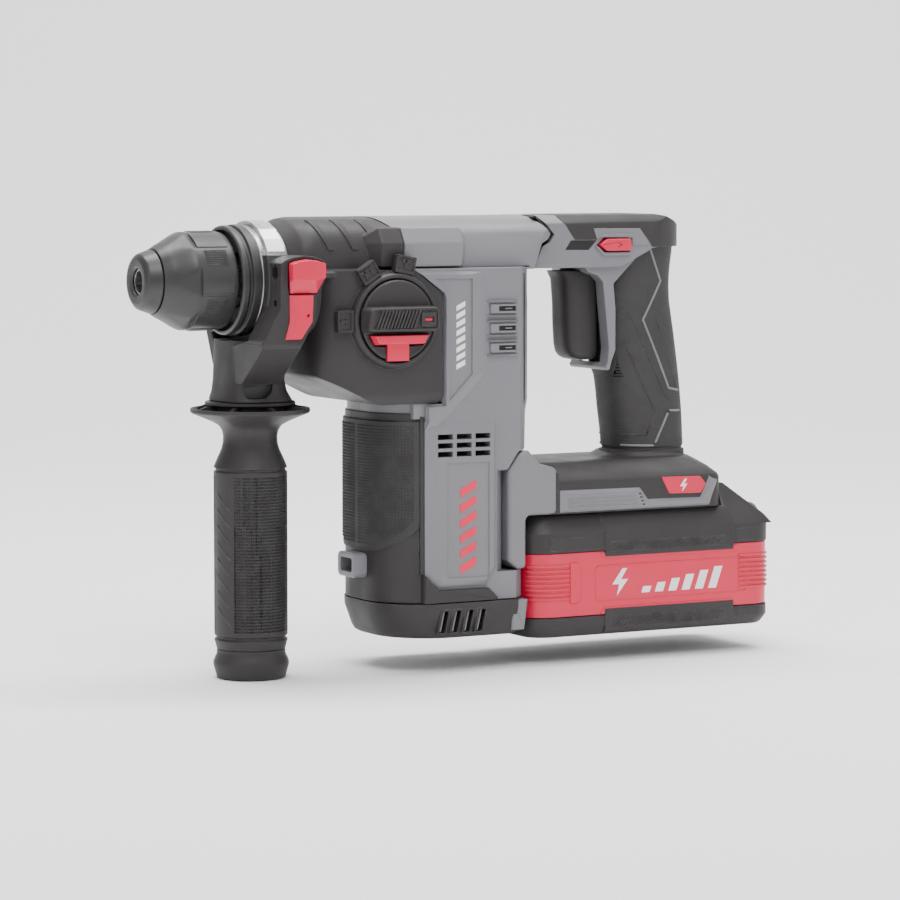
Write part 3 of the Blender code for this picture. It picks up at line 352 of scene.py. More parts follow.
def stud_tree():
    """Sets a stud on the middle of each face of a carrier surface, standing on that face."""
    found = bpy.data.node_groups.get("studs on a surface")
    if found:
        return found
    tree, given, out = new_tree(
        "studs on a surface",
        (
            ("Width", "NodeSocketFloat"),
            ("Height", "NodeSocketFloat"),
            ("Material", "NodeSocketMaterial"),
        ),
    )
    new = tree.nodes.new
    link = tree.links.new
    points = new("GeometryNodeMeshToPoints")
    points.mode = "FACES"
    normal = new("GeometryNodeInputNormal")
    keep = new("GeometryNodeCaptureAttribute")
    keep.domain = "FACE"
    keep.capture_items.new("VECTOR", "Facing")
    face = new("FunctionNodeAlignRotationToVector")
    face.axis = "Z"
    cone = new("GeometryNodeMeshCone")
    cone.inputs["Vertices"].default_value = 4
    cone.inputs["Radius Top"].default_value = 0.5
    shrink = new("ShaderNodeMath")
    shrink.operation = "MULTIPLY"
    shrink.inputs[1].default_value = 0.62
    quarter = new("GeometryNodeTransform")
    quarter.inputs["Rotation"].default_value = (0.0, 0.0, math.radians(45))
    spread = new("GeometryNodeInstanceOnPoints")
    link(given.outputs["Geometry"], keep.inputs["Geometry"])
    link(normal.outputs[0], keep.inputs["Facing"])
    link(keep.outputs["Geometry"], points.inputs["Mesh"])
    link(keep.outputs["Facing"], face.inputs["Vector"])
    link(given.outputs["Width"], shrink.inputs[0])
    link(shrink.outputs[0], cone.inputs["Radius Top"])
    link(given.outputs["Width"], cone.inputs["Radius Bottom"])
    link(given.outputs["Height"], cone.inputs["Depth"])
    link(cone.outputs["Mesh"], quarter.inputs["Geometry"])
    link(points.outputs[0], spread.inputs["Points"])
    link(quarter.outputs["Geometry"], spread.inputs["Instance"])
    link(face.outputs[0], spread.inputs["Rotation"])
    ended(tree, spread.outputs[0], given, out)
    return tree


def grown(name, carrier, tree, **values):
    """Runs a tree on a carrier object and returns the plain mesh that it gives."""
    step = carrier.modifiers.new("nodes", "NODES")
    step.node_group = tree
    for item in tree.interface.items_tree:
        label = item.name.lower()
        if item.in_out == "INPUT" and label in values:
            step[item.identifier] = values[label]
    carrier.name = name
    return settle(carrier)


def repeated(name, piece, count, step=(0, 0, 0), turn=(0, 0, 0), centre=(0, 0, 0)):
    """count copies of a piece, each a step (mm) and a turn (degrees) on from the last."""
    carrier = from_bmesh(name, bmesh.new())
    made = grown(
        name,
        carrier,
        row_tree(),
        piece=piece,
        count=count,
        centre=HOME + Vector(centre) * MM,
        step=Vector(step) * MM,
        turn=Vector([math.radians(a) for a in turn]),
        material=piece.data.materials[0],
    )
    bpy.data.objects.remove(piece, do_unlink=True)
    return made


def studded(name, rows, material, pitch, height):
    """Studs over a grid of points in tool millimetres; None leaves a gap in the grid."""
    mesh = bmesh.new()
    verts = [[mesh.verts.new(HOME + Vector(p) * MM) if p else None for p in row] for row in rows]
    for low, high in zip(verts, verts[1:]):
        for i in range(len(low) - 1):
            corners = (low[i], low[i + 1], high[i + 1], high[i])
            if None not in corners:
                mesh.faces.new(corners)
    carrier = from_bmesh(name, mesh)
    return grown(
        name, carrier, stud_tree(), width=pitch * 0.5 * MM, height=height * MM, material=material
    )


# ---- Settings that a user would change ----------------------------------------
def colour_setting(name, description, default):
    return bpy.props.FloatVectorProperty(
        name=name, description=description, subtype="COLOR", size=3, min=0, max=1, default=default
    )


def length_setting(name, description, default):
    return bpy.props.FloatProperty(
        name=name, description=description, unit="LENGTH", default=default, min=0.0
    )


class HammerColours(bpy.types.PropertyGroup):
    """The colours of the hammer's finishes."""

    grey: colour_setting("Grey shell", "Motor and handle shells", (0.172, 0.169, 0.186))
    black: colour_setting("Black shell", "Gear housing, foot and covers", (0.030, 0.027, 0.028))
    rubber: colour_setting("Rubber", "Grips, pads and the chuck", (0.034, 0.032, 0.033))
    red: colour_setting("Red", "Controls and the battery's band", (0.640, 0.010, 0.052))
    print_white: colour_setting("White print", "Marks printed on the shells", (0.85, 0.85, 0.85))
    steel: colour_setting("Steel", "Collar, spindle and shafts", (0.560, 0.560, 0.570))
    gauge: colour_setting("Gauge", "Cells of the charge gauge", (0.300, 0.620, 0.080))


class HammerSizes(bpy.types.PropertyGroup):
    """The sizes of the hammer's fine detail."""

    grain: length_setting("Plastic grain", "Size of the moulded texture", 0.00035)
    edge: length_setting("Edge rounding", "Radius of the moulded edges in the shading", 0.00035)
    stud: length_setting("Stud pitch", "Spacing of the rubber's square studs", 0.00145)
    stud_height: length_setting("Stud height", "How far the studs stand up", 0.00042)
    rib: length_setting("Rib pitch", "Spacing of the fine ribs on the battery", 0.0016)


def colours():
    return bpy.context.scene.hammer_colours


def sizes():
    return bpy.context.scene.hammer_sizes


# ---- Finishes ------------------------------------------------------------------
class Finish:
    """A material's node tree, with short calls for the nodes that every finish here uses."""

    def __init__(self, name):
        self.material = bpy.data.materials.new(name)
        self.material.use_nodes = True
        self.nodes = self.material.node_tree.nodes
        self.link = self.material.node_tree.links.new
        self.shader = self.nodes["Principled BSDF"]
        self.place = self.nodes.new("ShaderNodeTexCoord")

    def noise(self, scale, detail=3.0, stretch=(1, 1, 1)):
        spread = self.nodes.new("ShaderNodeMapping")
        spread.inputs["Scale"].default_value = stretch
        made = self.nodes.new("ShaderNodeTexNoise")
        made.inputs["Scale"].default_value = scale
        made.inputs["Detail"].default_value = detail
        self.link(self.place.outputs["Object"], spread.inputs["Vector"])
        self.link(spread.outputs[0], made.inputs["Vector"])
        return made.outputs["Fac"]

    def ranged(self, value, low, high, start=0.3, end=0.7):
        made = self.nodes.new("ShaderNodeMapRange")
        made.inputs["From Min"].default_value = start
        made.inputs["From Max"].default_value = end
        made.inputs["To Min"].default_value = low
        made.inputs["To Max"].default_value = high
        self.link(value, made.inputs["Value"])
        return made.outputs[0]

    def multiply(self, first, second):
        made = self.nodes.new("ShaderNodeMath")
        made.operation = "MULTIPLY"
        self.link(first, made.inputs[0])
        self.link(second, made.inputs[1])
        return made.outputs[0]

    def mix(self, share, first, second):
        """Mixes two colours; each is a colour or an output."""
        made = self.nodes.new("ShaderNodeMix")
        made.data_type = "RGBA"
        self.link(share, made.inputs["Factor"])
        for socket, value in (("A", first), ("B", second)):
            target = [s for s in made.inputs if s.name == socket and s.type == "RGBA"][0]
            if isinstance(value, bpy.types.NodeSocket):
                self.link(value, target)
            else:
                target.default_value = (*value, 1.0)
        return [s for s in made.outputs if s.type == "RGBA"][0]

    def bump(self, height, strength, distance, normal=None):
        made = self.nodes.new("ShaderNodeBump")
        made.inputs["Strength"].default_value = strength
        made.inputs["Distance"].default_value = distance
        self.link(height, made.inputs["Height"])
        if normal:
            self.link(normal, made.inputs["Normal"])
        return made.outputs[0]

    def soft_edges(self):
        """The normal with moulded edges rounded, and how much each point is an edge."""
        edge = self.nodes.new("ShaderNodeBevel")
        edge.samples = 4
        edge.inputs["Radius"].default_value = sizes().edge
        flat = self.nodes.new("ShaderNodeNewGeometry")
        turned_by = self.nodes.new("ShaderNodeVectorMath")
        turned_by.operation = "DOT_PRODUCT"
        self.link(edge.outputs[0], turned_by.inputs[0])
        self.link(flat.outputs["Normal"], turned_by.inputs[1])
        return edge.outputs[0], self.ranged(turned_by.outputs["Value"], 1.0, 0.0, 0.80, 0.99)


def shade(colour, factor):
    return tuple(min(1.0, c * factor) for c in colour)


def moulded(name, colour, roughness, grain=1.0, wear=0.35, sheen=0.5):
    """Moulded plastic: a fine spark grain, drifting tone and edges rubbed a little lighter."""
    made = Finish(name)
    tone = made.mix(made.noise(22.0), shade(colour, 0.90), shade(colour, 1.10))
    normal, edge = made.soft_edges()
    rubbed = made.multiply(edge, made.ranged(made.noise(140.0), 0.0, wear, 0.40, 0.65))
    lighter = tuple(c + (0.55 - c) * 0.5 for c in colour)
    made.link(made.mix(rubbed, tone, lighter), made.shader.inputs["Base Color"])
    rough = made.ranged(made.noise(75.0, 4.0), roughness - 0.06, roughness + 0.08)
    made.link(rough, made.shader.inputs["Roughness"])
    made.shader.inputs["Specular IOR Level"].default_value = sheen
    fine = made.noise(1.0 / sizes().grain, 2.0)
    made.link(made.bump(fine, 0.22 * grain, 0.00009, normal), made.shader.inputs["Normal"])
    return made.material


def metal(name, colour, roughness, stretch=(1, 1, 1), anisotropic=0.0):
    """Turned or cast metal with fine tool marks and a faint handling haze."""
    made = Finish(name)
    tone = made.mix(made.noise(30.0), shade(colour, 0.88), shade(colour, 1.08))
    made.link(tone, made.shader.inputs["Base Color"])
    made.shader.inputs["Metallic"].default_value = 1.0
    made.shader.inputs["Anisotropic"].default_value = anisotropic
    marks = made.noise(900.0, 3.0, stretch)
    made.link(
        made.ranged(marks, roughness - 0.07, roughness + 0.12), made.shader.inputs["Roughness"],
    )
    normal, _ = made.soft_edges()
    made.link(made.bump(marks, 0.12, 0.00005, normal), made.shader.inputs["Normal"])
    return made.material


def wound(name, colour, roughness, pitch):
    """Bands of wire or board tracks, a pitch apart along X."""
    made = Finish(name)
    bands = made.nodes.new("ShaderNodeTexWave")
    bands.inputs["Scale"].default_value = 0.35 / pitch
    bands.inputs["Distortion"].default_value = 1.5
    made.link(made.place.outputs["Object"], bands.inputs["Vector"])
    tone = made.mix(bands.outputs["Fac"], shade(colour, 0.6), shade(colour, 1.15))
    made.link(tone, made.shader.inputs["Base Color"])
    made.link(
        made.ranged(made.noise(200.0), roughness, roughness + 0.15),
        made.shader.inputs["Roughness"],
    )
    made.link(made.bump(bands.outputs["Fac"], 0.4, pitch * 0.2), made.shader.inputs["Normal"])
    return made.material


FINISHES = {}


def finish(name):
    """The finish of that name, made the first time that it is asked for."""
    if name not in FINISHES:
        c = colours()
        makers = {
            "grey_plastic": lambda: moulded("grey_plastic", c.grey, 0.42),
            "black_plastic": lambda: moulded("black_plastic", c.black, 0.50, sheen=0.34),
            "rubber": lambda: moulded("rubber", c.rubber, 0.62, grain=1.6, wear=0.15, sheen=0.35),
            "chuck_rubber": lambda: moulded("chuck_rubber", shade(c.rubber, 0.8), 0.40, wear=0.25),
            "red_plastic": lambda: moulded("red_plastic", c.red, 0.36, grain=0.6, wear=0.15),
            "print_white": lambda: moulded("print_white", c.print_white, 0.45, 0.5, 0.0),
            "print_red": lambda: moulded("print_red", shade(c.red, 1.15), 0.40, 0.5, 0.0),
            # Near black. The gauge's dark glass has it as its own colour; on slot floors, a hole's
            # floor, an opening and small marks it is painted shade standing in for their depth.
            "dark_recess": lambda: moulded("dark_recess", shade(c.black, 0.25), 0.7, 1.0, 0.0),
            "indicator": lambda: moulded("indicator", c.gauge, 0.30, 0.3, 0.0, 0.6),
            "steel": lambda: metal("steel", c.steel, 0.30, (0.15, 1, 1), 0.3),
            "collar": lambda: metal("collar", shade(c.steel, 0.62), 0.34, (1, 1, 1), 0.2),
            "dark_steel": lambda: metal("dark_steel", shade(c.steel, 0.25), 0.34),
            "aluminium": lambda: metal("aluminium", shade(c.steel, 1.05), 0.45),
            "brass": lambda: metal("brass", (0.65, 0.48, 0.20), 0.35),
            "copper": lambda: wound("copper", (0.70, 0.33, 0.18), 0.35, 0.0012),
            "circuit": lambda: wound("circuit", (0.02, 0.12, 0.05), 0.40, 0.004),
            "cell": lambda: wound("cell", (0.05, 0.18, 0.40), 0.30, 0.03),
        }
        FINISHES[name] = makers[name]()
    return FINISHES[name]


def with_finish(piece, name):
    return painted(piece, finish(name))


# ---- Chuck ------------------------------------------------------------------------
CHUCK_PETALS = 6
CHUCK_SIDES = 180


def chuck_radius(profile_radius, distance, angle):
    """The sleeve's outside: a cone and cylinder with a flat petal pressed into each sixth."""
    if not 11.0 < distance < 23.6:
        return profile_radius
    pitch = 2 * math.pi / CHUCK_PETALS
    off = (angle + pitch / 2) % pitch - pitch / 2
    reach = math.radians(19) * (distance - 11.0) / 12.6
    if abs(off) > reach:
        return profile_radius
    return profile_radius * math.cos(reach) / math.cos(off)


def make_chuck():
    axis = (0, 0, 0)
    nose = [(1.7, 5.65), (0.3, 6.6), (0.1, 10.6), (1.6, 12.8), (7.7, 14.9), (7.7, 9.3), (1.7, 9.3)]
    nose = turned("chuck_nose", "X", axis, nose, ring=True, radius=0.9)
    finished(with_finish(nose, "chuck_rubber"), "spindle", "rubber", "nose_cap")

    profile = [(8.1, 11.0), (8.1, 15.1), (11.0, 17.0), (12.5, 17.7), (14, 18.5), (16, 19.65)]
    profile += [(18, 20.8), (20, 21.9), (21.4, 22.45), (22.4, 22.55), (23.5, 22.58), (23.7, 22.6)]
    profile += [(38.6, 22.6), (39.8, 22.5), (41.2, 22.2), (42.0, 21.2), (42.0, 15.5), (26.0, 15.5)]
    profile += [(26.0, 11.75), (17.5, 11.75), (17.5, 13.6), (11.0, 13.6), (11.0, 11.0)]
    loops = []
    for distance, radius in profile:
        loop = []
        for i in range(CHUCK_SIDES):
            angle = 2 * math.pi * i / CHUCK_SIDES
            r = chuck_radius(radius, distance, angle) if radius > 14.9 and distance < 40 else radius
            loop.append((distance, r * math.cos(angle), r * math.sin(angle)))
        loops.append(loop)
    sleeve = with_finish(skin("sleeve", loops, ring=True), "chuck_rubber")
    parts = [sleeve]
    rib = [(22.3, -0.22), (22.95, -0.12), (22.95, 0.12), (22.3, 0.22)]
    for petal in range(CHUCK_PETALS):
        start = 360 * (petal + 0.5) / CHUCK_PETALS - 9.0
        first = across("rib", rib, 26.0, 37.2, 0, 0.12, 1)
        turn_about_spindle(first, start)
        with_finish(first, "chuck_rubber")
        parts.append(repeated(f"ribs_{petal}", first, 9, turn=(2.25, 0, 0)))
        step = across(
            "step", [(22.2, -0.9), (22.9, -0.5), (22.9, 0.5), (22.2, 0.9)], 24.0, 38.6, 0, 0.2, 2,
        )
        turn_about_spindle(step, start - 6.5)
        parts.append(with_finish(step, "chuck_rubber"))
    finished(gathered("chuck_grip", parts), "chuck_sleeve", "rubber", "chuck_sleeve")

    lip = [(42.6, 23.3), (42.6, 24.4), (43.4, 25.2), (45.6, 25.4), (46.4, 24.2), (47.4, 24.2)]
    lip += [(48.0, 25.6), (51.7, 25.8), (51.7, 12.6), (50.2, 12.6), (50.2, 23.3)]
    lip = turned("dust_lip", "X", axis, lip, ring=True, radius=0.3)
    finished(with_finish(lip, "chuck_rubber"), "root", "rubber", "dust_shield")
    collar = [(52.0, 22.35), (52.0, 25.0), (52.6, 25.5), (65.9, 25.5), (66.5, 25.0), (66.5, 22.35)]
    collar = turned("silver_collar", "X", axis, collar, ring=True)
    finished(with_finish(collar, "collar"), "root", "steel", "front_collar")


def turn_about_spindle(piece, degrees):
    """Turns a piece's mesh about the spindle's axis."""
    centre = Matrix.Translation(HOME)
    turn = Matrix.Rotation(math.radians(degrees), 4, "X")
    piece.data.transform(centre @ turn @ centre.inverted())


# ---- Gear housing --------------------------------------------------------------------
CASE_SIDE = 35.0
CASE_FLOOR = -57.8
CASE_REAR = 140.1
SHELL_SIDE = 33.6  # plain side of the grey shells; raised plates reach PLATE_SIDE
PLATE_SIDE = 36.0
BAR_POWER = 3.2


def section(half_y, half_z, power, count=96):
    """(y, z) points of a rounded box section, from an ellipse at power 2 to squarer above."""
    points = []
    for i in range(count):
        angle = 2 * math.pi * (i + 0.5) / count
        c = math.cos(angle)
        s = math.sin(angle)
        y = half_y * math.copysign(abs(c) ** (2 / power), c)
        z = half_z * math.copysign(abs(s) ** (2 / power), s)
        points.append((y, z))
    return points


def rail(name, side, front, rear, front_in, rear_in):
    """The raised block along the barrel, full between front and rear and tapering at its ends."""
    full = [(20.0, 24.4), (29.6, 24.0), (34.0, 16.6), (32.4, 5.8), (20.0, 4.6)]
    low = [(20.0, 21.0), (26.0, 20.0), (27.0, 16.6), (26.5, 8.0), (20.0, 7.0)]
    stations = [(front, full), (rear, full)]
    if front_in:
        stations.insert(0, (front - front_in, low))
    if rear_in:
        stations.append((rear + rear_in, low))
    loops = [[(x, side * y, z) for y, z in points] for x, points in stations]
    return bevelled(skin(name, loops), 0.7, 3, 20)


def ridge(x, side):
    """A slanting rib that wraps the barrel from near its top to its lower edge."""
    loops = []
    for k in range(15):
        angle = math.radians(68 - 50 * k / 14)
        c = math.cos(angle) ** (2 / BAR_POWER)
        s = math.sin(angle) ** (2 / BAR_POWER)
        lean = (27.0 - 28.5 * s) * 0.4527
        loop = []
        for along_x, out in ((0.0, -1.0), (0.2, 0.75), (1.3, 0.75), (4.6, 0.05), (4.6, -1.0)):
            loop.append((x + lean + along_x, side * (28.6 + out) * c, min(28.8, (28.5 + out) * s)))
        loops.append(loop)
    return bevelled(skin("ridge", loops), 0.18, 2, 30)


def dial_outline(centre, turn, points):
    """(out from the knob, along the rim) points as (x, z), turned round the knob."""
    angle = math.radians(turn)
    c = math.cos(angle)
    s = math.sin(angle)
    return [(centre.x + r * c - t * s, centre.z + r * s + t * c) for r, t in points]


def bar_points(r0, r1, t0, t1):
    return [(r0, t0), (r1, t0), (r1, t1), (r0, t1)]


DRILL_MARK = (
    bar_points(26.0, 28.6, -0.6, 0.6),
    [(24.6, 0.0), (26.2, -1.5), (26.2, 1.5)],
)
HAMMER_MARK = (
    bar_points(24.4, 28.4, -0.45, 0.45),
    bar_points(27.0, 28.6, -2.0, 2.0),
)


def dial_lug(centre, turn, marks):
    """A framed lug on the rim of the mode dial, with its mark standing inside the frame."""
    face = -CASE_SIDE
    base = dial_outline(centre, turn, bar_points(22.0, 30.2, -5.0, 5.0))
    parts = [prism("lug", base, face - 2.4, face + 1, 0.8, 0.3, 2)]
    for part in (
        bar_points(22.0, 23.4, -5.0, 5.0),
        bar_points(29.3, 30.2, -5.0, 5.0),
        bar_points(23.0, 30.0, -5.0, -4.1),
        bar_points(23.0, 30.0, 4.1, 5.0),
    ):
        parts.append(prism(
            "frame", dial_outline(centre, turn, part), face - 3.2, face - 2, 0.2, 0.2, 2,
        ))
    for along_rim, mark in marks:
        for shape in mark:
            moved = [(r, t + along_rim) for r, t in shape]
            outline = dial_outline(centre, turn, moved)
            parts.append(prism("mark", outline, face - 3.1, face - 2, 0.0, 0.1, 1))
    return parts


def make_gear_case():
    case = [(77, 4.6), (125.2, 4.6), (139.5, -6.2), (CASE_REAR, -8.5), (CASE_REAR, CASE_FLOOR)]
    case += [(106, CASE_FLOOR), (77, -43.5)]
    case = prism("case", rounded(case, 4.0, 5), -CASE_SIDE, CASE_SIDE)
    half = CASE_SIDE - 0.02
    from_above = [(77.2, -20.0), (79.5, -28.0), (84.0, -32.6), (91.0, -half), (150.0, -half)]
    from_above += [(x, -y) for x, y in reversed(from_above)]
    keep_inside(case, plan("from_above", rounded(from_above, 5.0, 6), -80, 30))
    from_front = [
        (-half, 20.0), (-half, -54.5), (-32.5, -60.0), (32.5, -60.0), (half, -54.5), (half, 20.0),
    ]
    keep_inside(case, across("from_front", rounded(from_front, 5.0, 6), 60, 160))
    loops = []
    for x, half_y, half_z, power in (
        (66.8, 24.6, 24.6, 2.0),
        (67.4, 25.1, 25.1, 2.0),
        (72.0, 27.9, 27.7, 2.3),
        (73.2, 28.3, 28.2, 2.5),
        (79.0, 28.6, 28.85, BAR_POWER),
        (127.0, 28.6, 28.85, BAR_POWER),
    ):
        loops.append([(x, y, z) for y, z in section(half_y, half_z, power)])
    barrel = skin("barrel", loops)
    limit = [(60, 40), (112.8, 40), (113.0, 28.4), (120.3, 23.0), (119.8, 8.9), (124.6, 5.0)]
    limit += [(125.2, 4.2), (125.2, -30.0), (60, -30.0)]
    keep_inside(barrel, prism("limit", limit, -36, 36))
    weld(case, barrel, turned("front_seat", "X", (0, 0, 0), [(52.2, 21.9), (67.2, 21.9)]))
    carve(
        case,
        prism("room", [(104, 1.5), (145, 1.5), (145, -54.5), (110, -54.5), (104, -48)], -31, 31),
        turned("gear_tunnel", "X", (0, 0, 0), [(100, 26.2), (150, 26.2)]),
        turned("spindle_tunnel", "X", (0, 0, 0), [(60, 16.0), (108, 16.0)]),
        turned("seat", "X", (0, 0, 0), [(50, 20.3), (65.5, 20.3)]),
    )
    knob_low, knob_high = tool_box("mode_knob")
    knob = Vector(((knob_low.x + knob_high.x) / 2, 0, (knob_low.z + knob_high.z) / 2))
    carve(case, turned("knob_bore", "Y", knob, [(-40, 6.4), (-28, 6.4)]))
    parts = [case]
    for side in (-1, 1):
        parts.append(rail("rail", side, 109.3, 120.4, 6.0, 0.0))
        for x in (77.9, 90.4, 103.2):
            parts.append(ridge(x, side))
        parts.append(seam_strip(side))
    face = -CASE_SIDE
    rim = [(face + 1, 19.3), (face - 3.3, 19.3), (face - 3.9, 19.9), (face - 3.9, 20.9)]
    rim += [(face - 3.3, 21.5), (face - 2.4, 22.0), (face + 1, 22.8)]
    parts.append(turned("rim", "Y", knob, rim, ring=True, radius=0.3))
    parts += dial_lug(knob, 180, ((0.0, DRILL_MARK),))
    parts += dial_lug(knob, 122, ((-1.6, DRILL_MARK), (2.2, HAMMER_MARK)))
    parts += dial_lug(knob, 79, ((0.0, HAMMER_MARK),))
    for part in parts:
        with_finish(part, "black_plastic")
    finished(gathered("gear_case", parts), "root", "black_plastic", "gear_housing")


def seam_strip(side):
    """The low ledge where the round barrel meets the flat side of the gear housing."""
    base = [(79, 5.6), (118.5, 5.6), (121.0, 3.4), (121.0, 1.2), (79, 1.2)]
    top = [(80, 4.0), (118.0, 4.0), (119.5, 3.0), (119.5, 1.6), (80, 1.6)]
    return plate("ledge", base, top, side, 28.0, 33.2, 0.8)


# ---- Mode knob --------------------------------------------------------------------------
def make_knob():
    low, high = tool_box("mode_knob")
    x = (low.x + high.x) / 2
    z = (low.z + high.z) / 2
    face = low.y
    disc = [
        (-35.4, 6.2), (-35.4, 18.7), (-39.2, 18.7), (-39.8, 18.1), (-39.8, 17.0), (-39.5, 16.6),
    ]
    disc = turned("disc", "Y", (x, 0, z), disc + [(-39.5, 0.01)], ring=False)
    stem = turned("stem", "Y", (x, 0, z), [(-36.5, 5.9), (-26.6, 5.9)], 48)
    weld(disc, stem)
    button = [(98.9, -24.7), (130.1, -24.7), (127.2, -30.1), (120.1, -30.6), (120.1, -37.8)]
    button += [(107.9, -37.8), (107.9, -30.6), (101.4, -30.1)]
    carve(disc, prism("button_room", button, -41, -36.9))
    base = [(x - 19.3, z - 5.7), (x - 19.3, z + 6.6), (x + 19.3, z + 6.6), (x + 19.3, z - 5.7)]
    top = [(x - 18.6, z - 4.4), (x - 16.6, z + 6.2), (x + 18.4, z + 6.2), (x + 18.4, z - 5.0)]
    loops = []
    for points, y in ((base, -39.0), (top, face + 0.9)):
        loops.append([(px, y, pz) for px, pz in rounded(points, 2.6)])
    bar = bevelled(skin("bar", loops), 0.8, 3, 40)
    pocket = rounded(
        [(x - 16.6, z - 3.4), (x - 15.0, z + 4.9), (x + 17.2, z + 4.9), (x + 17.2, z - 3.6)], 1.2,
    )
    carve(bar, prism("pocket", pocket, face - 1, face + 1.5))
    parts = [disc, bar]
    slant = [(x - 14.9, z - 3.3), (x - 13.8, z - 3.3), (x - 10.6, z + 4.7), (x - 11.7, z + 4.7)]
    rib = with_finish(prism("rib", slant, face + 0.35, face + 1.7, 0.0, 0.2, 2), "black_plastic")
    parts.append(repeated("ribs", rib, 12, step=(1.75, 0, 0)))
    window = prism(
        "window",
        [(x + 8.6, z - 2.6), (x + 8.6, z + 3.6), (x + 16.4, z + 3.6), (x + 16.4, z - 2.6)],
        face + 0.2, face + 2, 0.6, 0.25, 2,
    )
    slit = [(x + 10.2, z - 0.6), (x + 10.2, z + 1.6), (x + 14.8, z + 1.6), (x + 14.8, z - 0.6)]
    carve(window, prism("slit", slit, face - 1, face + 1.0))
    parts.append(window)
    for part in parts:
        with_finish(part, "black_plastic")
    mark = [(x + 10.6, z - 0.2), (x + 10.6, z + 1.2), (x + 14.4, z + 1.2), (x + 14.4, z - 0.2)]
    parts.append(with_finish(prism("marker", mark, face + 0.7, face + 1.3), "red_plastic"))
    finished(gathered("mode_dial", parts), "mode_knob", "black_plastic", "mode_knob")

    wedge_low = [(99.4, -25.1), (129.6, -25.1), (126.9, -29.7), (101.8, -29.7)]
    wedge_top = [(100.6, -25.1), (128.6, -25.1), (126.2, -29.1), (103.0, -29.1)]
    levels = ((-38.8, wedge_low), (-43.6, wedge_top))
    loops = [[(a, y, b) for a, b in points] for y, points in levels]
    wedge = bevelled(skin("wedge", loops), 0.5, 3, 40)
    tab = prism(
        "tab", [(108.3, -28), (119.7, -28), (119.7, -37.2), (108.3, -37.2)], -40.4, -38.8, 0.0,
        0.3,
    )
    for part in (wedge, tab):
        with_finish(part, "red_plastic")
    finished(gathered("dial_lock", [wedge, tab]), "knob_button", "red_plastic", "knob_lock_button")


# ---- Motor shells --------------------------------------------------------------------
COLUMN_FRONT = 114.5
COLUMN_REAR = 175.7
COLUMN_CORNER = 27.0
BASE_REAR = 186.3
CAP_TOP = -151.8
SPLIT = 0.15
WALL = 3.0
PAST = 10.0


def arc(centre, radius, start, end, steps=14):
    points = []
    for i in range(steps + 1):
        angle = math.radians(start + (end - start) * i / steps)
        points.append((centre[0] + radius * math.cos(angle), centre[1] + radius * math.sin(angle)))
    return points


def column_plan(front, rear, half, corner, middle, chamfer=6.0):
    """Left half of the motor column's plan: a large round front corner, a chamfered rear one."""
    points = [(rear, middle), (rear, -half + chamfer), (rear - chamfer, -half)]
    points += arc((front + corner, -half + corner), corner, 270, 180)
    points.append((front, middle))
    return points


def sided(outline, side):
    return [(x, y * -side) for x, y in outline]


def split_cut(piece, side):
    """Cuts off what a half shell has past the tool's middle plane."""
    far = -side * 4 * PAST
    low, high = sorted((side * SPLIT, far))
    return carve(piece, block("split", (90, low, -190), (340, high, 50)))


def sorted_prism(name, outline, a, b, *rest):
    low, high = sorted((a, b))
    return prism(name, outline, low, high, *rest)


BAR_OUTLINE = [
    (113.6, 29.5), (196.9, 29.5), (197.2, 28.4), (204.9, 19.8), (202.8, 17.3), (198.6, 15.6),
    (193.3, 3.7), (127.2, 3.7), (120.2, 9.2), (120.7, 23.2),
]
BODY_OUTLINE = [
    (125.2, 5.0), (193.8, 5.0), (190.8, -3.0), (190.8, -58.0), (188.2, -63.0), (187.3, -81.3),
    (182.4, -81.6), (175.9, -90.7), (150.0, -90.7), (150.0, -58.2), (140.5, -58.2),
    (140.5, -8.4), (139.9, -6.0),
]
BODY_ROOM = [
    (126.0, 2.0), (187.0, 2.0), (187.8, -4.0), (187.8, -57.5), (185.2, -62.0), (184.4, -78.4),
    (180.8, -78.6), (172.7, -89.7), (150.0, -93.0), (150.0, -62.0), (126.0, -62.0),
]


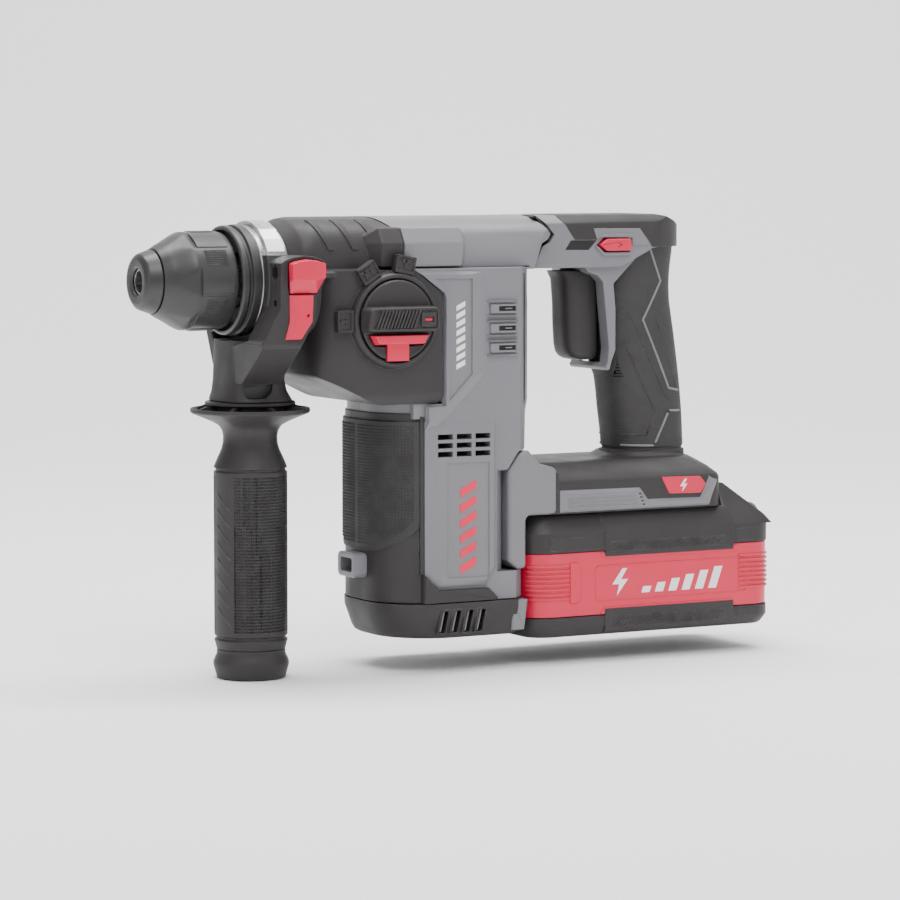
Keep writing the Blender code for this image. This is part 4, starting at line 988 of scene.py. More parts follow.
def shell_core(name, side):
    """The hollow half shell: motor column, gearbox body and top bar."""
    shell = plan(
        name, sided(column_plan(COLUMN_FRONT, COLUMN_REAR, SHELL_SIDE, COLUMN_CORNER, PAST), side),
        -140.0, -58.1,
    )
    base = column_plan(COLUMN_FRONT + 0.01, BASE_REAR, SHELL_SIDE - 0.01, COLUMN_CORNER, PAST - 1)
    base = plan("base", sided(base, side), CAP_TOP + 0.3, -138.4)
    body = prism("body", BODY_OUTLINE, side * (SHELL_SIDE - 0.03), -side * (PAST - 0.5))
    bevelled(body, 1.0, 3)
    rear = [
        (110, side * 40), (178.6, side * 40), (178.6, side * 36), (184.0, side * 32.6),
        (192.6, side * 23.6), (192.6, -side * 12), (110, -side * 12),
    ]
    keep_inside(body, plan("rear_chamfer", rear, -178, 30))
    loops = [[(x, y, z) for y, z in section(28.6, 28.85, BAR_POWER)] for x in (112, 206)]
    bar = skin("bar", loops)
    drawn_in = [
        (111, -29), (191.0, -29), (206.5, -22.4), (206.5, 22.4), (191.0, 29), (111, 29),
    ]
    keep_inside(bar, plan("drawn_in", drawn_in, -20, 34))
    keep_inside(bar, sorted_prism("limit", BAR_OUTLINE, side * 31, -side * (PAST - 1.5)))
    weld(shell, base, body, bar)

    inner = COLUMN_CORNER - WALL
    edge = PAST + 1
    room = column_plan(COLUMN_FRONT + WALL, COLUMN_REAR - WALL, SHELL_SIDE - WALL, inner, edge)
    low_room = column_plan(COLUMN_FRONT + WALL, BASE_REAR - WALL, SHELL_SIDE - WALL, inner, edge)
    loops = [[(x, y, z) for y, z in section(26.0, 26.0, BAR_POWER)] for x in (100, 194)]
    carve(
        shell,
        plan("room", sided(room, side), CAP_TOP - 1, -55.8),
        plan("low_room", sided(low_room, side), CAP_TOP - 1, -141.4),
        sorted_prism("body_room", BODY_ROOM, side * (SHELL_SIDE - WALL), -side * edge),
        skin("bar_room", loops),
    )
    return split_cut(shell, side)


UPPER_BASE = [
    (126.0, 4.2), (163.0, 3.4), (165.6, 0.5), (165.6, -42.1), (161.5, -47.4), (138.7, -70.0),
    (131.8, -70.6), (131.8, -58.9), (140.9, -58.6), (140.9, -8.3), (139.9, -5.8),
]
UPPER_TOP = [
    (128.5, 2.4), (155.0, 2.0), (157.4, 0.2), (157.4, -44.2), (155.0, -47.2), (135.4, -66.4),
    (132.4, -66.6), (132.4, -59.6), (141.6, -59.2), (141.6, -8.8), (140.6, -6.4),
]
LOWER_BASE = [
    (131.4, -66.2), (140.0, -66.2), (169.5, -66.2), (169.5, -136.5), (165.0, -145.2),
    (138.0, -145.2), (131.4, -138.4),
]
LOWER_TOP = [
    (136.8, -71.4), (140.0, -71.4), (167.2, -71.4), (167.2, -135.2), (163.0, -141.6),
    (141.0, -141.6), (136.8, -137.0),
]
UPPER_RECESS = [(135.9, 0.3), (155.4, 0.0), (155.4, -44.6), (143.2, -56.8), (143.2, -8.3)]
LOWER_RECESS = [(142.1, -86.0), (164.5, -86.0), (164.5, -140.0), (142.1, -140.0)]


def vent_cutters(side):
    cutters = []
    for column in range(3):
        for row in range(3):
            x = 137.0 + 10.0 * column
            z = -74.9 - 4.05 * row
            low, high = sorted((side * (SHELL_SIDE - WALL - 1), side * (PLATE_SIDE + 1)))
            cutters.append(block("vent", (x, low, z), (x + 8.0, high, z + 2.5)))
    return cutters


def side_fins(side):
    """Three ribbed slots down the rear edge of the body."""
    parts = []
    lip = [(164.6, -14.7), (180.6, -14.7), (180.6, -14.1), (164.6, -14.1)]
    for z in (3.4, -3.4):
        outline = [(x, lz + z) for x, lz in lip]
        first = sorted_prism(
            "lip", outline, side * (SHELL_SIDE - 0.3), side * (SHELL_SIDE + 1.6), 0.2, 0.25,
        )
        parts.append(repeated("lips", with_finish(first, "grey_plastic"), 3, step=(0, 0, -9.2)))
    pad = [(166.0, -16.6), (180.0, -16.6), (180.0, -12.2), (166.0, -12.2)]
    pad = sorted_prism("fin", pad, side * (SHELL_SIDE - 0.3), side * (SHELL_SIDE + 1.1), 0.5, 0.4)
    slot = [(170.4, -15.6), (179.6, -15.6), (179.6, -13.2), (170.4, -13.2)]
    carve(pad, sorted_prism("slot", slot, side * (SHELL_SIDE + 0.1), side * 37))
    parts.append(repeated("fins", with_finish(pad, "grey_plastic"), 3, step=(0, 0, -9.2)))
    # A near-black sheet on each slot's floor: painted shade standing in for the slot's depth.
    deep = [(170.6, -15.4), (179.4, -15.4), (179.4, -13.4), (170.6, -13.4)]
    deep = with_finish(
        sorted_prism("deep", deep, side * SHELL_SIDE, side * (SHELL_SIDE + 0.2)), "dark_recess",
    )
    parts.append(repeated("deeps", deep, 3, step=(0, 0, -9.2)))
    bar = [(174.0, -14.7), (177.6, -14.7), (177.6, -14.1), (174.0, -14.1)]
    bar = with_finish(
        sorted_prism("bar", bar, side * (SHELL_SIDE + 0.1), side * (SHELL_SIDE + 0.8), 0, 0.1),
        "grey_plastic",
    )
    parts.append(repeated("bars", bar, 3, step=(0, 0, -9.2)))
    return parts


def side_prints(side):
    """Plain stripes where a maker would print its marks."""
    parts = []
    slant = [(147.2, -12.6), (151.8, -10.4), (151.8, -12.8), (147.2, -15.0)]
    face = PLATE_SIDE - 0.75
    first = sorted_prism("stripe", slant, side * face, side * (face + 0.12))
    parts.append(repeated("stripes", with_finish(first, "print_white"), 8, step=(0, 0, -3.9)))
    slant = [(149.0, -98.4), (157.6, -94.2), (157.6, -98.2), (149.0, -102.4)]
    face = PLATE_SIDE - 0.55
    first = sorted_prism("band", slant, side * face, side * (face + 0.25))
    parts.append(repeated("bands", with_finish(first, "print_red"), 6, step=(0, 0, -7.2)))
    return parts


def make_shell(side, name, node):
    shell = shell_core(name, side)
    upper = plate("upper", UPPER_BASE, UPPER_TOP, side, SHELL_SIDE - 0.5, PLATE_SIDE, 0.0)
    carve(upper, sorted_prism("recess", UPPER_RECESS, side * (PLATE_SIDE - 0.7), side * 38))
    lower = plate("lower", LOWER_BASE, LOWER_TOP, side, SHELL_SIDE - 0.5, PLATE_SIDE, 0.0)
    carve(lower, sorted_prism("recess", LOWER_RECESS, side * (PLATE_SIDE - 0.5), side * 38))
    carve(shell, *vent_cutters(side))
    carve(lower, *vent_cutters(side))
    parts = [shell, upper, lower]
    parts.append(rail("rail", side, 120.8, 151.5, 0.0, 5.0))
    filler = [(126.0, -57.9), (133.6, -57.9), (133.6, -65.0), (126.0, -65.0)]
    parts.append(sorted_prism("filler", filler, side * 28.0, side * 32.6))
    band = [(126.4, 5.2), (190.0, 5.2), (188.0, 3.6), (128.0, 3.6)]
    parts.append(sorted_prism("crease", band, side * 27.5, side * 29.4, 0.3, 0.4))
    for part in parts:
        with_finish(part, "grey_plastic")
    parts += side_fins(side) + side_prints(side)
    for x, z, half in ((184.0, 16.0, 28.0), (179.5, -145.0, 34.0)):
        if side > 0:
            head = turned("head", "Y", (x, 0, z), [(half - 1.5, 4.6), (half + 0.9, 4.4)], 40)
            carve(head, turned("well", "Y", (x, 0, z), [(half - 1, 3.4), (half + 3, 3.4)], 40))
            parts.append(with_finish(head, "grey_plastic"))
    finished(gathered(name, parts), "root", "grey_plastic", node)


def make_gasket():
    outline = [
        (197.3, 27.9), (205.4, 19.8), (203.1, 17.0), (198.9, 15.3), (194.0, 4.2),
        (196.6, 4.2), (201.8, 14.6), (205.7, 16.3), (208.2, 19.7), (199.9, 27.9),
    ]
    half = tool_box("isolation_gasket")[1].y
    strip = prism("isolation_bellows", outline, -half, half, 0.4, 0.8)
    finished(with_finish(strip, "rubber"), "root", "rubber", "isolation_gasket")


# ---- Bumper, strap loop and base cap ------------------------------------------------------
def wrap_plan(out, reach, steps=20):
    """Plan points round the front of the column, out from its face, back to x = reach each side."""
    left = [(reach, -SHELL_SIDE - out)] if reach > COLUMN_FRONT + COLUMN_CORNER else []
    centre = (COLUMN_FRONT + COLUMN_CORNER, -SHELL_SIDE + COLUMN_CORNER)
    start = 270
    if not left:
        start = 180 + math.degrees(math.acos((centre[0] - reach) / (COLUMN_CORNER + out)))
    left += arc(centre, COLUMN_CORNER + out, start, 180, steps)
    return left + [(x, -y) for x, y in reversed(left)]


def wrap(name, out, reach, low, high, inner=-0.6, edge=0.4):
    outline = wrap_plan(out, reach) + list(reversed(wrap_plan(inner, reach)))
    return plan(name, outline, low, high, 0.0, edge, 2)


def wrap_point(distance, out):
    """The plan point that far round the column's front from its middle, on the left if negative."""
    flat = SHELL_SIDE - COLUMN_CORNER
    side = -1 if distance < 0 else 1
    d = abs(distance)
    if d <= flat:
        return COLUMN_FRONT - out, side * d
    angle = (d - flat) / COLUMN_CORNER
    r = COLUMN_CORNER + out
    x = COLUMN_FRONT + COLUMN_CORNER - r * math.cos(angle)
    return x, side * (flat + r * math.sin(angle))


def pad_reach(z):
    """How far round the column the grid pad reaches at a height: full, then drawn in below."""
    full = 37.0
    if z > -115.0:
        return full
    drop = min(1.0, (-115.0 - z) / 12.5)
    return full - 19.0 * drop * drop - 4.0 * drop


def make_bumper():
    cover = wrap("cover", 0.9, 131.2, CAP_TOP + 0.4, -62.6)
    low_band = [
        (130.0, -138.2), (131.3, -138.6), (137.9, -145.4), (164.6, -145.6), (169.4, -150.2),
        (169.4, CAP_TOP + 0.4), (130.0, CAP_TOP + 0.4),
    ]
    parts = [cover]
    for side in (-1, 1):
        parts.append(sorted_prism("band", low_band, side * 32.4, side * 35.9, 0.3, 0.4))
        frame_bar = [(129.2, -64.0), (131.2, -64.0), (131.2, -138.0), (129.2, -138.0)]
        parts.append(sorted_prism("rim", frame_bar, side * 29.6, side * 33.2, 0.0, 0.3))
    pad_rows = []
    thick = 1.9
    outer = []
    steps = 48
    for k in range(steps + 1):
        z = -66.2 - (127.3 - 66.2) * k / steps
        reach = pad_reach(z)
        columns = [reach * (2 * i / 64 - 1) for i in range(65)]
        ring = [(*wrap_point(d, thick), z) for d in columns]
        ring += [(*wrap_point(d, 0.2), z) for d in reversed(columns)]
        outer.append(ring)
    pad = bevelled(skin("pad", outer), 0.3, 2, 50)
    parts.append(pad)
    for part in parts:
        with_finish(part, "black_plastic" if part is not pad else "rubber")
    pitch = sizes().stud / MM
    z = -68.4
    while z > -125.5:
        reach = pad_reach(z - pitch) - 2.0
        count = int(37.0 / pitch)
        row = []
        for i in range(-count, count + 1):
            d = i * pitch
            inside = abs(d) <= reach and abs(d) > pitch * 0.4
            row.append((*wrap_point(d, thick), z) if inside else None)
        pad_rows.append(row)
        z -= pitch
    parts.append(studded("grid", pad_rows, finish("rubber"), pitch, sizes().stud_height / MM))
    finished(gathered("front_bumper", parts), "root", "rubber", "front_pad")

    front = tool_box("strap_loop")[0].x
    back = COLUMN_FRONT - 0.4
    outline = [(-9.2, -140.8), (9.2, -140.8), (9.2, -129.0), (-9.2, -129.0)]
    loop = across("eyelet", outline, front, back, 3.0, 0.9)
    hole = [(-5.8, -138.2), (5.8, -138.2), (5.8, -131.6), (-5.8, -131.6)]
    carve(loop, across("hole", hole, front - 2, back - 1.0, 1.6))
    # A near-black sheet on the eyelet hole's floor: painted shade standing in for the hole's depth.
    inside = [(-5.7, -138.1), (5.7, -138.1), (5.7, -131.7), (-5.7, -131.7)]
    inside = across("inside", inside, back - 1.1, back - 0.9, 1.6)
    parts = [with_finish(loop, "grey_plastic"), with_finish(inside, "dark_recess")]
    finished(gathered("strap_eyelet", parts), "root", "grey_plastic", "strap_loop")


def make_base_cap():
    low, high = tool_box("motor_base_cap")
    half = PLATE_SIDE - 0.3
    loops = []
    for z, out, side_in in (
        (high.z - 0.1, 0.6, 0.0),
        (high.z - 4.0, 0.5, 0.1),
        (low.z + 3.0, -2.6, 1.3),
        (low.z + 0.8, -3.8, 2.0),
        (low.z, -5.2, 3.4),
    ):
        front = COLUMN_FRONT - out
        rear = BASE_REAR - max(0.0, -out) * 0.35
        left = column_plan(front, rear, half - side_in, COLUMN_CORNER, 0)[1:-1]
        outline = left + [(x, -y) for x, y in reversed(left)]
        loops.append([(x, y, z) for x, y in outline])
    cap = skin("cap", loops)
    room = column_plan(COLUMN_FRONT + 6, BASE_REAR - 5, half - 6, COLUMN_CORNER - 4, 0)[1:-1]
    room += [(x, -y) for x, y in reversed(room)]
    carve(cap, plan("room", room, low.z + 4, high.z + 4))
    parts = [cap]
    for side in (-1, 1):
        cutters = []
        for i in range(4):
            x = 141.0 + 6.6 * i
            slot = [(x - 1.5, -155.4), (x + 2.0, -155.4), (x - 0.2, -165.6), (x - 3.7, -165.6)]
            cutters.append(sorted_prism("slot", rounded(slot, 0.7), side * 29, side * 38))
            rim = [(x - 2.3, -154.6), (x + 2.8, -154.6), (x + 0.5, -166.3), (x - 4.5, -166.3)]
            rim = prism("rim", rounded(rim, 1.0), *sorted((side * 33.4, side * 35.9)))
            bevelled(rim, 0.3, 2)
            carve(rim, sorted_prism("slot", rounded(slot, 0.7), side * 29, side * 38))
            parts.append(rim)
            vane = [(x - 0.4, -155.6), (x + 0.6, -155.6), (x - 1.6, -165.4), (x - 2.6, -165.4)]
            parts.append(sorted_prism("vane", vane, side * 31.5, side * 34.6, 0, 0.3))
        carve(cap, *cutters)
    for part in parts:
        with_finish(part, "black_plastic")
    for part in parts[1:]:
        if part.name.startswith("vane"):
            with_finish(part, "grey_plastic")
    corner = [(178.2, -152.2), (186.0, -152.2), (184.0, -166.6), (177.0, -166.6)]
    for side in (-1, 1):
        facet = sorted_prism("facet", corner, side * 26.0, side * 35.2, 0.4, 0.5)
        parts.append(with_finish(facet, "grey_plastic"))
    finished(gathered("base_cap", parts), "root", "black_plastic", "motor_base_cap")


# ---- Handle ---------------------------------------------------------------------------
def oval(x0, x1, half, z, power, count=96):
    """A rounded plan section between two X limits, at one height."""
    middle = (x0 + x1) / 2
    return [(middle + x, y, z) for x, y in section((x1 - x0) / 2, half, power, count)]


def tapered(name, stations, power):
    """Skins plan sections given as (z, x0, x1, half)."""
    return skin(name, [oval(x0, x1, half, z, power) for z, x0, x1, half in stations])


def top_section(half):
    """The top bar's (y, z) section: flat sides, sloping shoulders and a flat top."""
    left = [
        (-half, -10.0), (-half, 24.0), (-half + 0.6, 25.2), (-half + 4.0, 28.4),
        (-half + 5.6, 28.85),
    ]
    return left + [(-y, z) for y, z in reversed(left)]


GRIP = (
    (13.4, 244.0, 282.8, 17.6), (10.0, 243.4, 282.6, 17.2), (5.0, 242.4, 282.0, 16.8),
    (0.0, 241.6, 281.6, 16.5), (-6.0, 241.4, 281.4, 16.4), (-14.0, 241.6, 281.8, 16.4),
    (-22.0, 242.0, 283.1, 16.5), (-30.0, 242.2, 284.5, 16.5), (-38.0, 242.6, 285.7, 16.5),
    (-44.0, 243.6, 286.6, 16.4), (-47.0, 245.0, 287.0, 16.3), (-50.0, 246.3, 287.4, 16.2),
    (-56.0, 247.2, 288.1, 16.1), (-66.0, 248.3, 289.1, 16.1), (-76.0, 249.8, 289.6, 16.3),
    (-83.0, 250.6, 289.8, 16.5), (-84.4, 250.7, 289.8, 16.5), (-84.9, 251.3, 289.3, 16.0),
    (-85.8, 251.3, 289.3, 16.0), (-86.3, 249.6, 290.4, 16.9), (-89.6, 249.2, 290.6, 17.2),
)
GRIP_POWER = 2.7


def grip_station(z):
    """The grip's front, rear and half width at a height."""
    for above, below in zip(GRIP, GRIP[1:]):
        if above[0] >= z >= below[0]:
            t = (above[0] - z) / (above[0] - below[0])
            return [a + (b - a) * t for a, b in zip(above[1:], below[1:])]
    return list(GRIP[-1][1:])


def grip_side(x, z):
    """How far out the grip's surface is at that point."""
    front, rear, half = grip_station(z)
    across_half = min(0.995, abs(2 * (x - front) / (rear - front) - 1))
    return half * (1 - across_half ** GRIP_POWER) ** (1 / GRIP_POWER)


def bead(name, points, radius, closed=False):
    """A round cord through points in tool millimetres."""
    path = [Vector(p) for p in points]
    loops = []
    for i, here in enumerate(path):
        before = path[i - 1] if i or closed else here
        after = path[(i + 1) % len(path)] if i < len(path) - 1 or closed else here
        along = (after - before).normalized()
        out = Vector((0, 0, 1)) if abs(along.z) < 0.8 else Vector((1, 0, 0))
        first = along.cross(out).normalized() * radius
        second = along.cross(first).normalized() * radius
        turns = [math.pi * k / 4 for k in range(8)]
        loops.append([tuple(here + first * math.cos(a) + second * math.sin(a)) for a in turns])
    return skin(name, loops, ring=closed)


def along_grip(points, side, out, step=1.5):
    """Points every step along an (x, z) line, lying on the grip's side."""
    made = []
    for (x0, z0), (x1, z1) in zip(points, points[1:]):
        count = max(1, int(math.hypot(x1 - x0, z1 - z0) / step))
        for k in range(count):
            x = x0 + (x1 - x0) * k / count
            z = z0 + (z1 - z0) * k / count
            made.append((x, side * (grip_side(x, z) + out), z))
    x, z = points[-1]
    made.append((x, side * (grip_side(x, z) + out), z))
    return made


GRIP_PIPES = (
    [(264.1, 11.7), (271.0, -3.7), (260.6, -22.3), (276.1, -56.0), (282.6, -57.2)],
    [(283.2, -67.2), (276.1, -66.9), (267.2, -83.8), (252.4, -83.4)],
)
GRIP_GROOVES = (
    [(265.8, -15.0), (281.4, -56.0)],
    [(243.8, -18.3), (251.6, -18.1), (254.8, -21.4), (273.0, -58.6), (276.4, -61.8)],
    [(244.4, -34.0), (251.7, -34.6), (268.2, -67.5), (263.4, -78.2), (252.0, -78.6)],
)


def grip_studs():
    """Fine square studs over the rubber, left off round the trigger and the grey guard."""
    pitch = sizes().stud / MM
    rows = []
    z = 9.6
    while z > -83.6:
        front, rear, half = grip_station(z)
        columns = oval(front, rear, half, z, GRIP_POWER, 92)
        guard = 241.0 + max(0.0, (z + 5.8) * 1.12) + 2.2
        row = []
        for x, y, _ in columns + columns[:1]:
            clear = x > guard if z > -46.5 else True
            row.append((x, y, z) if clear and (abs(y) > 11.0 or x > 250 or z < -47) else None)
        rows.append(row)
        z -= pitch
    return studded("studs", rows, finish("rubber"), pitch, sizes().stud_height / MM * 0.8)


GUARD = [
    (226.0, 5.6), (240.0, 9.0), (262.6, 13.0), (258.2, 9.6), (243.6, -4.6), (244.8, -16.5),
    (244.8, -36.6), (242.8, -41.6), (241.5, -46.0), (240.0, -46.4), (239.0, -44.8),
    (240.2, -42.6), (240.6, -39.6), (241.0, -35.3), (237.6, -3.6), (234.8, -0.6), (229.4, 1.2),
]
COVER = [
    (211.2, 28.9), (266.9, 28.9), (272.2, 27.9), (288.7, 22.3), (289.6, 16.4), (287.4, 12.9),
    (263.2, 12.9), (260.9, 16.6), (256.2, 22.3), (229.7, 22.5), (232.3, 16.8), (219.8, 16.9),
]
COLLAR = [
    (200.3, 28.7), (266.0, 28.7), (280.0, 24.0), (284.0, 14.2), (264.0, 12.6), (246.0, 3.8),
    (229.1, 3.6), (197.1, 3.6), (202.2, 14.2), (206.1, 16.0), (208.6, 19.6),
]


COVER_PLAN = [
    (190.0, -30.0), (250.0, -30.0), (252.0, -21.0), (262.0, -20.97), (266.0, -20.4),
    (270.0, -19.2),
    (275.0, -17.0), (279.5, -14.2), (284.0, -9.4), (287.0, -5.0), (288.6, 0.0), (287.0, 5.0),
    (284.0, 9.4), (279.5, 14.2), (275.0, 17.0), (270.0, 19.2), (266.0, 20.4), (262.0, 20.97),
    (252.0, 21.0), (250.0, 30.0), (190.0, 30.0),
]


def make_handle():
    collar = prism("collar", COLLAR, -20.6, 20.6)
    keep_inside(collar, across("from_rear", top_section(20.59), 190, 300))
    keep_inside(collar, plan("from_above", [(x - 0.3, y * 0.985) for x, y in COVER_PLAN], -20, 40))
    cover = prism("cover", COVER, -21.0, 21.0)
    keep_inside(cover, across("from_rear", top_section(20.99), 190, 300))
    keep_inside(cover, plan("from_above", COVER_PLAN, 0, 40))
    guard = prism("guard", GUARD, -17.4, 17.4, 0.0, 0.6, 3)
    grip = tapered("grip", GRIP, GRIP_POWER)
    slot = [(232.0, 14.3), (236.0, 17.7), (250.6, 17.7), (250.6, 10.9), (236.0, 10.9)]
    trigger_room = block("trigger_room", (212, -9.9, -42.9), (249.0, 9.9, 1.9))
    switch_room = block("switch_room", (248.0, -13.0, -50.0), (272.0, 13.0, 8.0))
    carve(grip, trigger_room, switch_room)
    carve(guard, block("trigger_room", (212, -9.9, -42.9), (249.0, 9.9, 1.9)))
    carve(
        collar, prism("lever_slot", slot, -30, 30), block("room", (212, -9.9, -3), (249, 9.9, 2)),
    )
    carve(
        cover, prism("lever_slot", slot, -30, 30), block("room", (205, -20.4, 2), (262, 20.4, 22)),
    )
    parts = [with_finish(collar, "grey_plastic"), with_finish(cover, "black_plastic")]
    parts += [with_finish(guard, "grey_plastic"), with_finish(grip, "rubber"), grip_studs()]
    window = [(217.6, 16.6), (231.8, 16.5), (227.4, 12.0), (214.4, 12.1)]
    frame_line = [
        (229.9, 22.3), (255.9, 22.1), (261.6, 14.0), (251.6, 14.0), (251.6, 18.6), (234.5, 18.6),
        (232.0, 16.9),
    ]
    upper_lip = [(233.2, 18.0), (235.4, 19.4), (252.4, 19.4), (252.4, 17.6), (236.0, 17.9)]
    lower_lip = [
        (231.0, 13.4), (235.2, 9.2), (250.4, 9.2), (250.6, 10.7), (235.8, 10.7), (232.0, 13.8),
    ]
    for side in (-1, 1):
        # A near-black patch on each side beside the lever: painted shade standing in for an opening
        # in the shell.
        dark = sorted_prism("window", window, side * 20.2, side * 20.75, 0.3, 0.1)
        parts.append(with_finish(dark, "dark_recess"))
        for outline, out in ((frame_line, 21.3), (upper_lip, 21.9), (lower_lip, 21.9)):
            lip = sorted_prism("lip", outline, side * 20.0, side * out, 0.0, 0.25, 2)
            parts.append(with_finish(lip, "grey_plastic"))
        for line in GRIP_PIPES:
            pipe = bead("pipe", along_grip(line, side, 0.05), 0.55)
            parts.append(with_finish(pipe, "grey_plastic"))
        for line in GRIP_GROOVES:
            groove = bead("groove", along_grip(line, side, 0.0), 0.42)
            parts.append(with_finish(groove, "black_plastic"))
        skirt = [(197.6, 3.9), (229.4, 3.9), (229.4, 5.2), (198.4, 5.2)]
        parts.append(with_finish(
            sorted_prism("skirt", skirt, side * 15, side * 20.9, 0, 0.4), "grey_plastic",
        ))
    parts += foot_parts()
    finished(gathered("rear_handle", parts), "root", "grey_plastic", "handle_left", "handle_right")


def make_trigger():
    stations = (
        (1.6, 218.8, 241.4, 9.0), (0.4, 219.4, 241.4, 9.4), (-2.4, 221.0, 241.4, 9.5),
        (-13.0, 222.0, 241.4, 9.5), (-24.0, 222.3, 241.4, 9.5), (-34.0, 223.0, 241.4, 9.5),
        (-37.6, 223.8, 241.4, 9.3), (-39.8, 225.4, 241.2, 8.7), (-41.0, 227.6, 240.6, 7.6),
        (-41.5, 230.0, 239.6, 6.2),
    )
    blade = tapered("trigger_blade", stations, 3.4)
    finished(with_finish(blade, "black_plastic"), "trigger", "black_plastic", "trigger")

    low, high = tool_box("direction_lever")
    shape = [(232.8, 14.3), (236.6, 17.2), (249.4, 17.2), (250.1, 15.8), (250.1, 12.8)]
    shape += [(249.4, 11.4), (236.6, 11.4)]
    lever = with_finish(prism("lever", shape, low.y, high.y, 0.5, 0.5, 3), "red_plastic")
    parts = [lever]
    arrow = [
        (242.6, 15.6), (244.9, 14.3), (242.6, 13.0), (242.6, 13.35), (244.1, 14.3), (242.6, 15.25),
    ]
    # Near-black arrows on the lever: painted shade standing in for moulded arrow grooves.
    for side, reach in ((-1, -low.y), (1, high.y)):
        mark = sorted_prism("arrow", arrow, side * (reach - 0.2), side * (reach + 0.08))
        parts.append(with_finish(mark, "dark_recess"))
    finished(
        gathered("direction_switch", parts), "direction_lever", "red_plastic", "direction_lever",
    )


# ---- Foot -------------------------------------------------------------------------------
def box_loop(x0, x1, half, corner, z, steps=10):
    """A rounded rectangle in plan, at one height."""
    points = []
    corners = (
        (x0 + corner, -half + corner, 180), (x1 - corner, -half + corner, 270),
        (x1 - corner, half - corner, 0), (x0 + corner, half - corner, 90),
    )
    for x, y, start in corners:
        points += arc((x, y), corner, start, start + 90, steps)
    return [(x, y, z) for x, y in points]


def boxed(name, stations):
    """Skins rounded rectangles given as (z, x0, x1, half, corner)."""
    return skin(name, [box_loop(x0, x1, half, corner, z) for z, x0, x1, half, corner in stations])


ACCENT = [
    (203.6, -101.2), (249.6, -101.6), (254.0, -107.4), (283.0, -107.8), (288.2, -97.6),
    (293.6, -100.2), (289.0, -112.6), (203.6, -112.6),
]
ACCENT_FACE = [
    (207.4, -103.2), (247.6, -103.4), (252.8, -109.4), (284.6, -109.6), (289.4, -100.0),
    (291.2, -101.2), (287.6, -111.4), (207.4, -111.4),
]
BADGE = [(261.2, -97.6), (283.2, -98.0), (286.4, -101.6), (283.6, -106.2), (265.6, -105.8)]


def bolt_shape(x, z, tall):
    """A plain lightning bolt, tall high, leaning back."""
    points = [
        (0.10, 0.5), (-0.34, -0.08), (-0.04, -0.08), (-0.14, -0.5), (0.34, 0.1), (0.04, 0.1),
        (0.3, 0.5),
    ]
    return [(x + a * tall, z + b * tall) for a, b in points]


def foot_parts():
    foot = boxed("foot", (
        (-113.0, 194.5, 297.4, 33.0, 7.0), (-98.8, 194.5, 297.4, 33.0, 7.0),
        (-97.2, 194.6, 296.6, 32.6, 7.0), (-93.6, 195.2, 293.4, 28.8, 8.0),
        (-91.0, 195.6, 290.2, 25.2, 9.0), (-89.6, 196.0, 288.4, 22.6, 9.0),
        (-88.9, 196.4, 287.6, 20.8, 9.0),
    ))
    flare = tapered("flare", (
        (-92.0, 236.0, 292.0, 24.0), (-89.6, 241.0, 289.4, 20.6), (-88.4, 245.6, 287.6, 18.6),
        (-87.4, 248.0, 286.4, 17.5), (-86.8, 248.8, 286.0, 17.2),
    ), 3.0)
    weld(foot, flare)
    carve(
        foot,
        block("rail_slot", (190, -22.4, -108.4), (320, 22.4, -104.1)),
        block("rail_mouth", (190, -18.8, -115.0), (320, 18.8, -104.0)),
        block("board_room", (204, -27.5, -104.2), (286, 27.5, -92.8)),
        block("grip_room", (251, -12, -94.0), (281, 12, -80.0)),
    )
    front = [
        (176.4, -91.2), (182.9, -82.2), (187.8, -82.0), (194.3, -88.5), (203.2, -91.0),
        (203.2, -113.0), (186.3, -113.0), (186.3, -138.0), (181.4, -138.0), (176.4, -133.6),
    ]
    front = prism("front", front, -33.6, 33.6, 0.0, 2.2, 3)
    carve(
        front,
        block("rail_mouth", (196.0, -18.8, -115.0), (220, 18.8, -104.0)),
        block("rail_slot", (196.0, -22.4, -108.4), (220, 22.4, -104.1)),
        block("wire_room", (179.5, -28, -110), (190, 28, -92)),
    )
    parts = [with_finish(foot, "black_plastic"), with_finish(front, "grey_plastic")]
    for side in (-1, 1):
        band = plate("accent", ACCENT, ACCENT_FACE, side, 32.6, 34.0, 0.3)
        parts.append(with_finish(band, "grey_plastic"))
        vane = [(208.2, -104.6), (246.6, -104.6), (246.6, -105.3), (208.2, -105.3)]
        vane = with_finish(
            sorted_prism("vane", vane, side * 33.6, side * 34.35, 0, 0.15), "grey_plastic",
        )
        parts.append(repeated("vanes", vane, 4, step=(0.4, 0, -1.75)))
        # Near-black ticks past the vanes' ends: painted shade standing in for small recesses.
        tick = [(248.0, -104.6), (249.4, -104.6), (249.4, -105.3), (248.0, -105.3)]
        tick = with_finish(sorted_prism("tick", tick, side * 33.4, side * 34.05), "dark_recess")
        parts.append(repeated("ticks", tick, 4, step=(0.7, 0, -1.75)))
        plaque = sorted_prism("badge", BADGE, side * 32.6, side * 33.7, 0.7, 0.3)
        parts.append(with_finish(plaque, "red_plastic"))
        mark = sorted_prism("bolt", bolt_shape(273.6, -102.0, 6.2), side * 33.5, side * 33.8)
        parts.append(with_finish(mark, "print_white"))
        pillar = [(201.6, -92.4), (204.0, -93.2), (204.0, -113.0), (201.6, -113.0)]
        pillar = sorted_prism("pillar", pillar, side * 26, side * 33.3, 0, 0.5)
        parts.append(with_finish(pillar, "black_plastic"))
    return parts


# ---- Battery ------------------------------------------------------------------------------
PACK_FRONT = 187.2
PACK_REAR = 326.0
PACK_HALF = 35.3
PACK_CORNER = 12.0
PANEL_HALF = 36.0
PANEL_ENDS = (228.2, 301.2)
STRIP_ENDS = ((198.0, 225.6), (303.6, 316.0))


